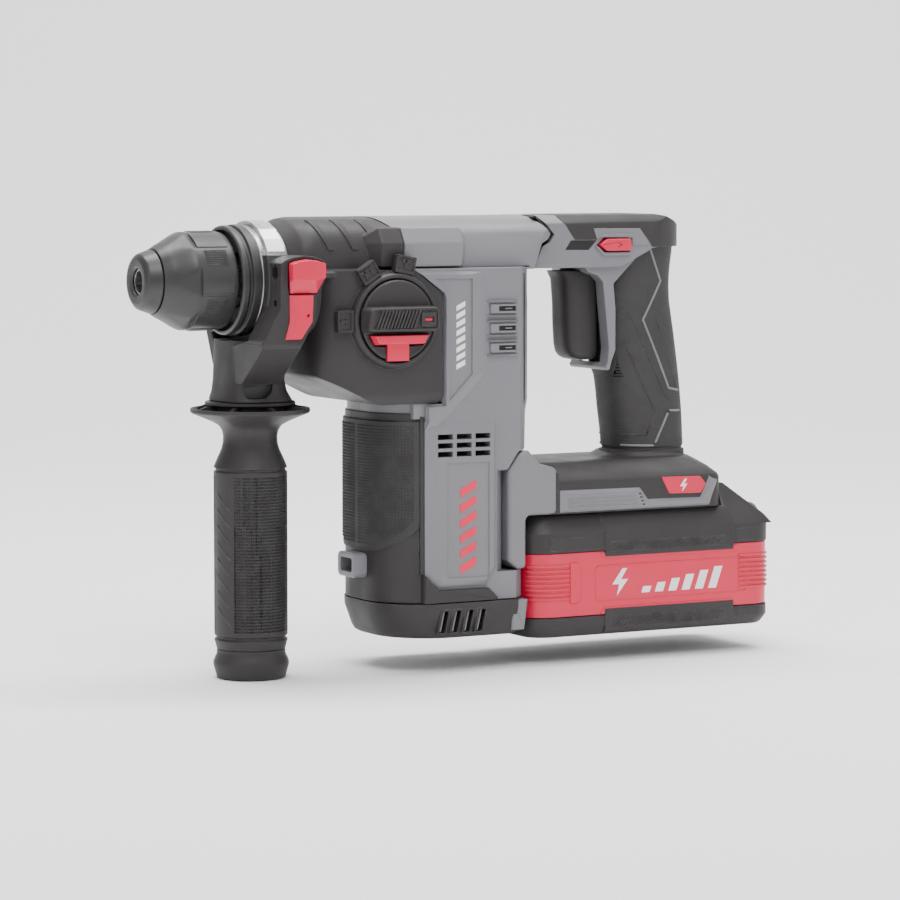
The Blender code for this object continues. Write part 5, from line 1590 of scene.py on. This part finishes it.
def hatch(name, side, x0, x1, z0, z1):
    """A pad of fine slanting ribs that stands a little proud of a side panel."""
    pitch = sizes().rib / MM
    pad = [(x0, z0), (x1, z0), (x1, z1), (x0, z1)]
    pad = with_finish(sorted_prism(name, pad, side * 35.6, side * 36.14, 0.4), "rubber")
    lean = (z1 - z0) * 0.7
    rib = [
        (x0 + 0.6, z0 + 0.3), (x0 + 1.2, z0 + 0.3), (x0 + 1.2 + lean, z1 - 0.3),
        (x0 + 0.6 + lean, z1 - 0.3),
    ]
    rib = with_finish(
        sorted_prism("rib", rib, side * 35.9, side * 36.5, 0, 0.1, 1), "black_plastic",
    )
    count = int((x1 - x0 - lean - 1.8) / pitch) + 1
    return [pad, repeated(name + "_ribs", rib, count, step=(pitch, 0, 0))]


def thumb_ribs(name, front, side):
    """Ribs wrapped round one corner of the battery's band."""
    turn = PACK_CORNER
    x = PACK_FRONT + turn if front else PACK_REAR - turn
    if front:
        start, end = (206, 270) if side < 0 else (154, 90)
    else:
        start, end = (334, 270) if side < 0 else (26, 90)
    far = 9.5 if front else -9.5
    y = side * (PACK_HALF - turn)
    outer = arc((x, y), turn + 0.45, start, end, 8) + [(x + far, y + side * (turn + 0.45))]
    inner = arc((x, y), turn - 0.8, start, end, 8) + [(x + far, y + side * (turn - 0.8))]
    rib = plan("rib", outer + list(reversed(inner)), -138.2, -137.1, 0, 0.2, 1)
    return repeated(name, with_finish(rib, "red_plastic"), 8, step=(0, 0, -2.25))


def make_battery():
    top = boxed("pack_top", (
        (-131.4, 187.4, 325.8, PACK_HALF - 0.1, 12.0),
        (-131.2, 187.2, 326.0, PACK_HALF + 0.1, 12.0),
        (-122.8, 187.2, 326.0, PACK_HALF + 0.1, 12.0),
        (-121.8, 187.6, 325.6, PACK_HALF - 0.3, 12.0),
        (-114.4, 191.6, 321.6, 29.8, 9.0), (-113.4, 192.8, 320.4, 28.4, 8.0),
    ))
    hood = boxed(
        "hood",
        [
            (-122.6, 298.1, 325.4, 34.0, 2.0), (-118.3, 298.1, 322.0, 32.0, 2.0),
            (-102.9, 298.1, 303.0, 23.6, 1.5),
        ],
    )
    base = block("rail_base", (220.0, -18.4, -117.3), (301.5, 18.4, -105.3), 0.5)
    head = block("rail_head", (220.0, -22.0, -108.0), (296.5, 22.0, -104.5), 0.6)
    weld(top, hood, base, head)
    along = Vector((19.0, -15.7)).normalized()
    out = Vector((15.7, 19.0)).normalized()

    def on_slope(points):
        start = Vector((303.0, -102.7))
        return [tuple(start + along * a + out * b) for a, b in points]

    pocket = prism(
        "pocket", on_slope([(2.9, 3), (2.9, -5.1), (21.2, -5.1), (21.2, 3)]), -13.1, 13.1,
    )
    carve(top, pocket)
    slots = [block("slot", (214, y - 1.4, -112.0), (231.0, y + 1.4, -104.9)) for y in (-10, 0, 10)]
    room = boxed("room", (
        (-140.0, 191.2, 322.0, 31.6, 8.0), (-124.0, 191.2, 322.0, 31.6, 8.0),
        (-117.3, 194.5, 318.0, 26.0, 7.0),
    ))
    carve(top, room, *slots)
    parts = [with_finish(top, "black_plastic")]
    for y in (-10, 0, 10):
        blade = block("blade", (217.0, y - 0.35, -111.8), (230.6, y + 0.35, -105.6))
        parts.append(with_finish(blade, "brass"))
    for side in (-1, 1):
        rim = [
            (34.2, -134.4), (PANEL_HALF, -134.2), (PANEL_HALF, -122.0), (29.3, -113.5),
            (27.0, -113.6), (27.0, -118.5), (34.2, -124.5),
        ]
        rim = across("panel", [(side * y, z) for y, z in rim], *PANEL_ENDS, 0.0, 0.35, 2)
        parts.append(with_finish(rim, "black_plastic"))
        parts += hatch("hatch_top", side, 231.6, 296.4, -131.8, -127.2)
        for x0, x1 in STRIP_ENDS:
            strip = [(x0, -124.4), (x1, -124.4), (x1, -130.2), (x0, -130.2)]
            strip = sorted_prism("strip", strip, side * 34.8, side * 35.75, 0.5, 0.25)
            parts.append(with_finish(strip, "black_plastic"))
    finished(gathered("pack_top", parts), "battery", "black_plastic", "battery_top_case")

    level = (PACK_FRONT + 0.3, PACK_REAR - 0.3, PACK_HALF - 0.3, PACK_CORNER)
    band = bevelled(boxed("band", ((-162.2, *level), (-131.6, *level))), 0.5, 2, 60)
    shelf = boxed("room", (
        (-170.0, 190.5, 322.7, 32.2, 8.8), (-125.0, 190.5, 322.7, 32.2, 8.8),
    ))
    carve(band, shelf)
    glow = block("window", (320, -14.0, -148.5), (330, 14.0, -138.5))
    carve(band, glow)
    parts = [band]
    for side in (-1, 1):
        for front in (True, False):
            parts.append(thumb_ribs("thumb", front, side))
        frame_line = [(223.4, -138.6), (309.0, -138.6), (309.0, -155.4), (223.4, -155.4)]
        corners = rounded(frame_line, 2.0, 3)
        points = [(x, side * (PACK_HALF - 0.32), z) for x, z in corners]
        parts.append(bead("outline", points, 0.32, closed=True))
        stop = [(209.0, -136.2), (213.1, -136.2), (214.6, -138.4)]
        stop += [(214.6, -153.6), (213.1, -155.8), (209.0, -155.8)]
        parts.append(sorted_prism("stop", stop, side * 34.6, side * 35.75, 0.4, 0.3))
        lip = [
            (228.0, -135.2), (301.4, -135.2), (303.4, -133.0), (303.4, -132.4), (226.0, -132.4),
            (226.0, -133.0),
        ]
        parts.append(sorted_prism("lip", lip, side * 34.4, side * 35.6, 0.3, 0.25))
        lip = [
            (228.0, -158.6), (300.6, -158.6), (303.4, -161.2), (303.4, -161.9), (226.0, -161.9),
            (226.0, -161.2),
        ]
        parts.append(sorted_prism("lip", lip, side * 34.4, side * 35.6, 0.3, 0.25))
    for part in parts:
        with_finish(part, "red_plastic")
    for side in (-1, 1):
        mark = sorted_prism("bolt", bolt_shape(237.0, -147.0, 13.0), side * 34.9, side * 35.1)
        parts.append(with_finish(mark, "print_white"))
        for i in range(6):
            x = 249.0 + 7.6 * i
            tall = 3.0 + 1.5 * i
            bar = [
                (x, -152.8), (x + 4.6, -152.8), (x + 4.6 + tall * 0.35, -152.8 + tall),
                (x + tall * 0.35, -152.8 + tall),
            ]
            bar = sorted_prism("bar", bar, side * 34.9, side * 35.1)
            parts.append(with_finish(bar, "print_white"))
    button = across(
        "button", [(-5.0, -137.0), (5.0, -137.0), (5.0, -133.6), (-5.0, -133.6)], 324.9, 325.95,
        1.0, 0.2, 2,
    )
    parts.append(with_finish(button, "black_plastic"))
    finished(gathered("pack_band", parts), "battery", "red_plastic", "battery_case")

    low, high = tool_box("battery_gauge")
    glass = across(
        "glass", [(-13.7, -148.2), (13.7, -148.2), (13.7, -138.8), (-13.7, -138.8)], low.x,
        high.x - 0.3, 1.2, 0.3, 2,
    )
    cell = across(
        "cell", [(-13.1, -147.4), (-7.0, -147.4), (-7.0, -139.6), (-13.1, -139.6)], high.x - 0.5,
        high.x, 0.5, 0.15, 2,
    )
    cells = repeated("cells", with_finish(cell, "indicator"), 4, step=(0, 6.7, 0))
    finished(
        gathered("charge_gauge", [with_finish(glass, "dark_recess"), cells]), "battery",
        "indicator", "battery_gauge",
    )

    base = boxed("pack_base", (
        (-162.5, 187.4, 325.8, 35.2, 12.0), (-162.8, 187.2, 326.0, 35.4, 12.0),
        (-167.4, 187.2, 326.0, 35.4, 12.0), (-168.6, 187.9, 325.3, 34.9, 11.6),
        (-171.2, 189.6, 323.6, 33.2, 10.5), (-172.0, 190.6, 322.6, 32.2, 10.0),
    ))
    carve(
        base,
        boxed("room", ((-168.0, 191.0, 322.2, 31.6, 8.0), (-155.0, 191.0, 322.2, 31.6, 8.0))),
    )
    parts = [base]
    for side in (-1, 1):
        rim = [
            (34.2, -159.2), (PANEL_HALF, -159.4), (PANEL_HALF, -169.2), (34.4, -171.0),
            (32.6, -171.8), (32.6, -163.5), (34.2, -162.6),
        ]
        parts.append(across("panel", [(side * y, z) for y, z in rim], *PANEL_ENDS, 0.0, 0.35, 2))
        for x0, x1 in STRIP_ENDS:
            strip = [(x0, -163.6), (x1, -163.6), (x1, -167.4), (x0, -167.4)]
            parts.append(sorted_prism("strip", strip, side * 34.8, side * 35.75, 0.5, 0.25))
    for part in parts:
        with_finish(part, "black_plastic")
    for side in (-1, 1):
        parts += hatch("hatch_base", side, 231.6, 296.4, -168.4, -163.0)
    finished(gathered("pack_base", parts), "battery", "black_plastic", "battery_base")

    latch = on_slope([(3.4, -4.6), (3.4, 0.4), (7.0, 1.3), (17.5, -1.0), (17.5, -4.6)])
    latch = prism("latch", latch, -12.4, 12.4, 0.0, 0.4, 2)
    dish = on_slope([(6.4, 4.0), (8.2, -0.4), (12.0, -2.4), (15.6, -2.8), (16.6, 4.0)])
    dish = prism("dish", dish, -10.4, 10.4, 0.0, 0.8, 3)
    carve(latch, dish)
    finished(with_finish(latch, "red_plastic"), "battery_latch", "red_plastic", "battery_latch")


# ---- Side handle --------------------------------------------------------------------------
STUD_AXIS = 57.5


def make_clamp():
    axis = (0, 0, 0)
    ring = [(53.0, 26.0), (53.0, 29.6), (53.6, 30.2), (65.6, 30.2), (66.2, 29.6), (66.2, 26.0)]
    ring += [(64.7, 26.0), (64.7, 27.8), (54.8, 27.8), (54.8, 26.0)]
    ring = turned("clamp", "X", axis, ring, ring=True)
    boss = [
        (53.6, 8.6), (56.0, 10.2), (60.0, 11.5), (65.0, 12.1), (70.0, 11.7), (74.0, 10.5),
        (76.0, 9.2), (76.0, 0.8), (71.6, -7.4), (70.6, -17.0), (64.4, -28.6), (43.8, -28.6),
        (53.4, -11.0),
    ]
    boss = prism("boss", boss, -41.2, -24.0, 0.0, 0.5, 2)
    neck = tapered("neck", (
        (-27.4, 44.0, 72.4, 19.6), (-32.0, 43.4, 71.8, 18.0), (-46.0, 42.4, 71.0, 17.0),
        (-51.0, 41.8, 72.2, 17.6), (-55.2, 40.8, 74.4, 19.4), (-55.7, 41.0, 74.2, 19.2),
    ), 3.2)
    shoulder = [
        (-28.0, -26.0), (-41.0, -26.0), (-41.0, -29.6), (-18.6, -47.0), (-6.0, -47.0),
        (-6.0, -30.0),
    ]
    shoulder = across("shoulder", shoulder, 44.2, 64.2, 0.0, 0.8, 2)
    far = [(16.0, -24.0), (22.4, -24.0), (15.0, -40.0), (6.0, -40.0)]
    far = across("web", far, 45.4, 64.2, 0.0, 0.8, 2)
    weld(boss, neck, shoulder, far)
    carve(boss, turned("bore", "X", axis, [(30.0, 27.9), (90.0, 27.9)]))
    carve(ring, block("strap_window", (50, -40, 12.0), (70, 40, 40)))
    weld(ring, boss)
    recess = [
        (57.0, 8.9), (60.0, 10.0), (65.5, 10.8), (71.0, 10.2), (75.0, 9.0), (75.0, 1.0),
        (71.8, -5.4), (57.4, -5.4), (57.0, 0.0),
    ]
    centre = Vector((0, -34.5, 4.5))
    hexagon = [
        (centre.y + 3.5 * math.cos(a), centre.z + 3.9 * math.sin(a))
        for a in [math.pi * k / 3 + math.pi / 6 for k in range(6)]
    ]
    carve(
        ring,
        prism("recess", recess, -50, -38.0),
        across("depth_hole", hexagon, 40, 90),
        block("pin_hole", (40, -36.8, -11.0), (56.5, -33.4, -8.2)),
        turned("stud_hole", "Z", (STUD_AXIS + 2.25, 0, 0), [(-90, 4.5), (-20, 4.5)], 32),
        prism(
            "trim_room",
            [
                (57.2, -5.2), (69.6, -5.2), (69.0, -18.1), (63.4, -26.4), (54.8, -26.4),
                (57.2, -18.1),
            ],
            -50, -41.1,
        ),
    )
    window = sorted_prism(
        "grip_window", [(46.2, -48.6), (47.4, -54.0), (56.4, -54.0), (60.0, -51.2), (61.2, -47.0)],
        -22, -14.6,
    )
    bevelled(window, 1.2, 2)
    carve(ring, window)
    finished(with_finish(ring, "black_plastic"), "side_clamp", "black_plastic", "aux_clamp")

    outline = [
        (57.6, -5.6), (69.2, -5.6), (68.6, -18.0), (63.2, -26.0), (55.2, -26.0), (57.6, -18.0),
    ]
    face = [(59.6, -5.8), (69.0, -5.8), (68.4, -17.8), (62.8, -25.6), (57.4, -25.6), (59.6, -17.8)]
    loops = [[(x, y, z) for x, z in points] for y, points in ((-41.2, outline), (-43.4, face))]
    trim = bevelled(skin("trim", loops), 0.3, 2, 20)
    carve(trim, turned("eye", "Y", (66.2, 0, -15.0), [(-46, 0.75), (-42.2, 0.75)], 24))
    finished(with_finish(trim, "red_plastic"), "side_clamp", "red_plastic", "clamp_trim")

    base = [
        (57.3, 8.6), (60.2, 9.7), (65.6, 10.5), (70.8, 9.9), (74.7, 8.8), (74.7, 1.0),
        (71.4, -5.0), (57.9, -5.0), (57.6, 0.0),
    ]
    face = [
        (57.7, 8.4), (60.5, 9.4), (65.7, 10.1), (70.7, 9.6), (74.4, 8.5), (74.4, 2.2), (69.0, 1.3),
        (62.6, 1.1), (57.7, 1.4),
    ]
    levels = ((-41.0, base), (-41.8, base), (-45.3, face))
    loops = [[(x, y, z) for x, z in points] for y, points in levels]
    button = bevelled(skin("button", loops), 0.35, 2, 25)
    finished(
        with_finish(button, "red_plastic"), "depth_button", "red_plastic", "depth_lock_button",
    )


def make_side_grip():
    low, high = tool_box("aux_grip")
    x = (low.x + high.x) / 2
    y = (low.y + high.y) / 2
    centre = (x, y, 0)
    profile = [
        (-56.0, 4.4), (-56.0, 20.4), (-56.5, 21.0), (-57.4, 21.0), (-57.9, 20.4), (-58.2, 16.6),
        (-61.2, 16.8), (-60.4, 26.4), (-59.2, 27.4), (-59.4, 27.8), (-60.9, 27.8), (-61.5, 27.2),
        (-63.6, 22.0), (-65.4, 17.8), (-67.2, 14.6), (-69.4, 13.2), (-72.0, 12.6), (-75.0, 12.7),
        (-78.0, 13.4), (-82.0, 15.2), (-85.8, 16.8), (-86.6, 17.1), (-87.0, 16.6), (-87.2, 16.2),
        (-88.0, 16.2), (-88.3, 16.7), (-88.9, 17.1), (-164.4, 17.1), (-165.0, 16.6),
        (-165.2, 16.1),
        (-166.0, 16.1), (-166.3, 16.6), (-166.9, 17.1), (-171.0, 16.0), (-171.0, 4.4),
    ]
    grip = with_finish(turned("side_grip", "Z", centre, profile, ring=True), "black_plastic")
    web = plan(
        "web", [(x + 16, y - 0.9), (x + 25.6, y - 0.9), (x + 25.6, y + 0.9), (x + 16, y + 0.9)],
        -61.0, -58.0,
    )
    slope = [
        (x + 15, -57.6), (x + 21.0, -57.6), (x + 26.8, -59.6), (x + 26.8, -62.0), (x + 15, -62.0),
    ]
    keep_inside(web, prism("slope", slope, y - 2, y + 2))
    webs = repeated(
        "webs", with_finish(web, "black_plastic"), 8, turn=(0, 0, 45), centre=(x, y, -59.0),
    )
    pitch = sizes().stud / MM
    rows = []
    z = -90.2
    count = 96
    while z > -163.4:
        row = []
        for i in range(count + 1):
            angle = 360 * i / count
            smooth = 176 < angle < 214
            a = math.radians(angle)
            row.append(None if smooth else (x + 17.1 * math.cos(a), y + 17.1 * math.sin(a), z))
        rows.append(row)
        z -= pitch
    studs = studded("studs", rows, finish("rubber"), pitch, sizes().stud_height / MM)
    rib = []
    for angle in (182, 186, 190, 194, 198, 202, 206, 210):
        a = math.radians(angle)
        rib.append((x + 17.1 * math.cos(a), y + 17.1 * math.sin(a), -98.0 - (angle - 182) * 0.28))
    rib = with_finish(bead("mark", rib, 0.4), "black_plastic")
    marks = repeated("marks", rib, 8, step=(0, 0, -7.6))
    finished(gathered("side_grip", [grip, webs, studs, marks]), "side_grip", "rubber", "aux_grip")

    cap = [
        (-171.3, 4.4), (-171.3, 15.9), (-172.2, 16.0), (-173.4, 16.0), (-175.0, 16.8),
        (-177.0, 17.6), (-178.4, 17.7), (-181.0, 17.0), (-183.0, 16.4), (-184.2, 16.2),
        (-184.5, 16.0), (-184.5, 6.0), (-182.0, 4.4),
    ]
    cap = turned("grip_cap", "Z", centre, cap, ring=True)
    finished(with_finish(cap, "black_plastic"), "side_grip", "black_plastic", "aux_grip_cap")


# ---- Inner works -----------------------------------------------------------------------------
INNER = {
    "steel": (
        "spindle", "locking_ball_lower", "locking_ball_upper", "chuck_spring",
        "spindle_front_bearing", "spindle_rear_bearing", "striker", "impact_bolt", "wrist_pin",
        "motor_lower_bearing", "motor_upper_bearing", "crank_bearing", "clamp_band",
        "housing_screw_1", "housing_screw_2", "housing_screw_3",
    ),
    "dark_steel": (
        "ring_bevel_gear", "bevel_pinion_shaft", "intermediate_gear", "crank_gear",
        "motor_pinion", "motor_rotor",
    ),
    "aluminium": ("piston", "connecting_rod", "bearing_bracket", "gear_plate"),
    "rubber": ("front_seal",),
    "copper": ("motor_stator",),
    "black_plastic": ("motor_fan", "terminal_block", "trigger_switch"),
    "circuit": ("control_board",),
    "cell": ("battery_cell_pack",),
}


def finish_inner_works():
    """The inner pieces keep their own shapes and take detailed finishes."""
    for name, nodes in INNER.items():
        for node in nodes:
            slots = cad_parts[node].material_slots
            if not slots:
                raise RuntimeError(f"{node} has no material slot")
            for slot in slots:
                slot.material = finish(name)


# ---- Stage ----------------------------------------------------------------------------------
CAMERA_TURN = 28.7
CAMERA_TILT = 4.7
CAMERA_DEPTH = 1.690909  # metres from the lens to the plane of the nose
CAMERA_FILM = 36.0  # millimetres across
CAMERA_LENS = 148.8
NOSE_ACROSS = -0.084597  # of the depth, to the left of the middle
NOSE_DOWN = -0.045161  # of the depth, from the middle


def stage_finish(name, colour, roughness):
    made = Finish(name)
    tone = made.mix(made.noise(3.0), shade(colour, 0.99), colour)
    made.link(tone, made.shader.inputs["Base Color"])
    made.shader.inputs["Roughness"].default_value = roughness
    made.shader.inputs["Specular IOR Level"].default_value = 0.1
    return made.material


def set_camera():
    turn = math.radians(CAMERA_TURN)
    tilt = math.radians(CAMERA_TILT)
    right = Vector((math.cos(turn), -math.sin(turn), 0))
    forward = Vector((
        math.sin(turn) * math.cos(tilt), math.cos(turn) * math.cos(tilt), -math.sin(tilt),
    ))
    up = Vector((math.sin(turn) * math.sin(tilt), math.cos(turn) * math.sin(tilt), math.cos(tilt)))
    lens = bpy.data.cameras.new("studio_camera")
    lens.sensor_width = CAMERA_FILM
    lens.lens = CAMERA_LENS
    lens.clip_end = 20
    camera = bpy.data.objects.new("studio_camera", lens)
    bpy.context.scene.collection.objects.link(camera)
    place = HOME - (right * NOSE_ACROSS - up * NOSE_DOWN + forward) * CAMERA_DEPTH
    turned_to = Matrix((right, up, -forward)).transposed().to_4x4()
    camera.matrix_world = Matrix.Translation(place) @ turned_to
    bpy.context.scene.camera = camera


def add_light(name, place, target, size, power, colour=(1, 1, 1)):
    lamp = bpy.data.lights.new(name, "AREA")
    lamp.shape = "RECTANGLE"
    lamp.size, lamp.size_y = size
    lamp.energy = power
    lamp.color = colour
    made = bpy.data.objects.new(name, lamp)
    made.location = place
    made.rotation_euler = (Vector(target) - Vector(place)).to_track_quat("-Z", "Y").to_euler()
    bpy.context.scene.collection.objects.link(made)
    return made


def set_stage():
    floor_level = FRAME_BOX[0][2] - 0.0005
    turn = math.radians(CAMERA_TURN)
    away = Vector((math.sin(turn), math.cos(turn), 0))
    aside = Vector((math.cos(turn), -math.sin(turn), 0))
    sweep = [(-4.0, 0.0), (1.2, 0.0)]
    sweep += [(1.2 + x, 1.0 + z) for x, z in arc((0, 0), 1.0, 270, 360, 16)]
    sweep.append((2.2, 4.0))
    mesh = bmesh.new()
    rows = []
    for width in (-4.0, 4.0):
        row = [away * d + aside * width + Vector((0, 0, floor_level + z)) for d, z in sweep]
        rows.append([mesh.verts.new(point) for point in row])
    for i in range(len(sweep) - 1):
        mesh.faces.new((rows[0][i], rows[1][i], rows[1][i + 1], rows[0][i + 1]))
    floor = from_bmesh("studio_sweep", mesh)
    floor.data.shade_smooth()
    painted(floor, stage_finish("studio_floor", (0.95, 0.95, 0.95), 0.9))
    lights = [
        add_light("key", (-0.35, -0.95, 1.45), (0, 0, 0.08), (0.9, 0.9), 18.0),
        add_light("side_fill", (1.05, -1.25, 0.75), (0.05, 0, 0.08), (0.8, 0.8), 5.0),
        add_light("front_fill", (-1.45, -0.70, 0.70), (-0.05, 0, 0.10), (0.6, 0.9), 5.0),
        add_light("top", (0.05, 0.10, 1.35), (0, 0, 0.10), (1.3, 0.6), 19.0),
        add_light(
            "backdrop", tuple(away * 0.6 + Vector((0, 0, 2.4))), tuple(away * 2.2), (3.0, 0.8),
            75.0,
        ),
    ]
    world = bpy.data.worlds.new("studio")
    world.use_nodes = True
    ground = world.node_tree.nodes["Background"]
    ground.inputs["Color"].default_value = (1, 1, 1, 1)
    ground.inputs["Strength"].default_value = 0.38
    bpy.context.scene.world = world
    set_camera()


# ---- Operators and panel ---------------------------------------------------------------------
class HammerOperator:
    """What every operator here shares."""

    bl_options = {"REGISTER", "UNDO"}
    steps = ()

    def execute(self, context):
        for step, *values in self.steps:
            step(*values)
        return {"FINISHED"}


class HAMMER_OT_chuck(HammerOperator, bpy.types.Operator):
    """Builds the chuck, its dust lip and the collar behind it"""

    bl_idname = "hammer.chuck"
    bl_label = "Chuck"
    steps = ((make_chuck,),)


class HAMMER_OT_gear_case(HammerOperator, bpy.types.Operator):
    """Builds the black gear housing with its ribs, rails and dial surround"""

    bl_idname = "hammer.gear_case"
    bl_label = "Gear Housing"
    steps = ((make_gear_case,),)


class HAMMER_OT_mode_dial(HammerOperator, bpy.types.Operator):
    """Builds the mode dial and its red lock"""

    bl_idname = "hammer.mode_dial"
    bl_label = "Mode Dial"
    steps = ((make_knob,),)


class HAMMER_OT_shells(HammerOperator, bpy.types.Operator):
    """Builds the two grey motor shells and the rubber seam behind them"""

    bl_idname = "hammer.shells"
    bl_label = "Motor Shells"
    steps = (
        (make_shell, -1, "shell_left", "housing_left"),
        (make_shell, 1, "shell_right", "housing_right"),
        (make_gasket,),
    )


class HAMMER_OT_bumper(HammerOperator, bpy.types.Operator):
    """Builds the front bumper with its studded pad, the strap eyelet and the base cap"""

    bl_idname = "hammer.bumper"
    bl_label = "Bumper and Base"
    steps = ((make_bumper,), (make_base_cap,))


class HAMMER_OT_handle(HammerOperator, bpy.types.Operator):
    """Builds the rear handle and the foot that holds the battery"""

    bl_idname = "hammer.handle"
    bl_label = "Rear Handle"
    steps = ((make_handle,),)


class HAMMER_OT_controls(HammerOperator, bpy.types.Operator):
    """Builds the trigger and the direction switch"""

    bl_idname = "hammer.controls"
    bl_label = "Trigger and Switch"
    steps = ((make_trigger,),)


class HAMMER_OT_battery(HammerOperator, bpy.types.Operator):
    """Builds the battery's levels, gauge and latch"""

    bl_idname = "hammer.battery"
    bl_label = "Battery"
    steps = ((make_battery,),)


class HAMMER_OT_side_handle(HammerOperator, bpy.types.Operator):
    """Builds the side handle's clamp, its red button and the grip"""

    bl_idname = "hammer.side_handle"
    bl_label = "Side Handle"
    steps = ((make_clamp,), (make_side_grip,))


class HAMMER_OT_inner_works(HammerOperator, bpy.types.Operator):
    """Gives the inner pieces their finishes"""

    bl_idname = "hammer.inner_works"
    bl_label = "Inner Works"
    steps = ((finish_inner_works,),)


class HAMMER_OT_stage(HammerOperator, bpy.types.Operator):
    """Sets the pale floor, the soft lights and the camera"""

    bl_idname = "hammer.stage"
    bl_label = "Studio"
    steps = ((set_stage,),)


OPERATORS = (
    HAMMER_OT_chuck,
    HAMMER_OT_gear_case,
    HAMMER_OT_mode_dial,
    HAMMER_OT_shells,
    HAMMER_OT_bumper,
    HAMMER_OT_handle,
    HAMMER_OT_controls,
    HAMMER_OT_battery,
    HAMMER_OT_side_handle,
    HAMMER_OT_inner_works,
    HAMMER_OT_stage,
)


class HAMMER_PT_panel(bpy.types.Panel):
    """Lists the steps and their settings in the sidebar"""

    bl_label = "Rotary Hammer"
    bl_space_type = "VIEW_3D"
    bl_region_type = "UI"
    bl_category = "Rotary Hammer"

    def draw(self, context):
        layout = self.layout
        for group in (context.scene.hammer_colours, context.scene.hammer_sizes):
            box = layout.box()
            for name in group.bl_rna.properties.keys():
                if name not in ("name", "rna_type"):
                    box.prop(group, name)
        for operator in OPERATORS:
            layout.operator(operator.bl_idname)


CLASSES = (HammerColours, HammerSizes, *OPERATORS, HAMMER_PT_panel)


def register():
    for each in CLASSES:
        bpy.utils.register_class(each)
    bpy.types.Scene.hammer_colours = bpy.props.PointerProperty(type=HammerColours)
    bpy.types.Scene.hammer_sizes = bpy.props.PointerProperty(type=HammerSizes)


def unregister():
    del bpy.types.Scene.hammer_sizes
    del bpy.types.Scene.hammer_colours
    for each in reversed(CLASSES):
        bpy.utils.unregister_class(each)


def main():
    register()
    for operator in OPERATORS:
        group, name = operator.bl_idname.split(".")
        result = getattr(getattr(bpy.ops, group), name)()
        if result != {"FINISHED"}:
            raise RuntimeError(f"{operator.bl_label} did not finish")


if __name__ == "__main__":
    main()
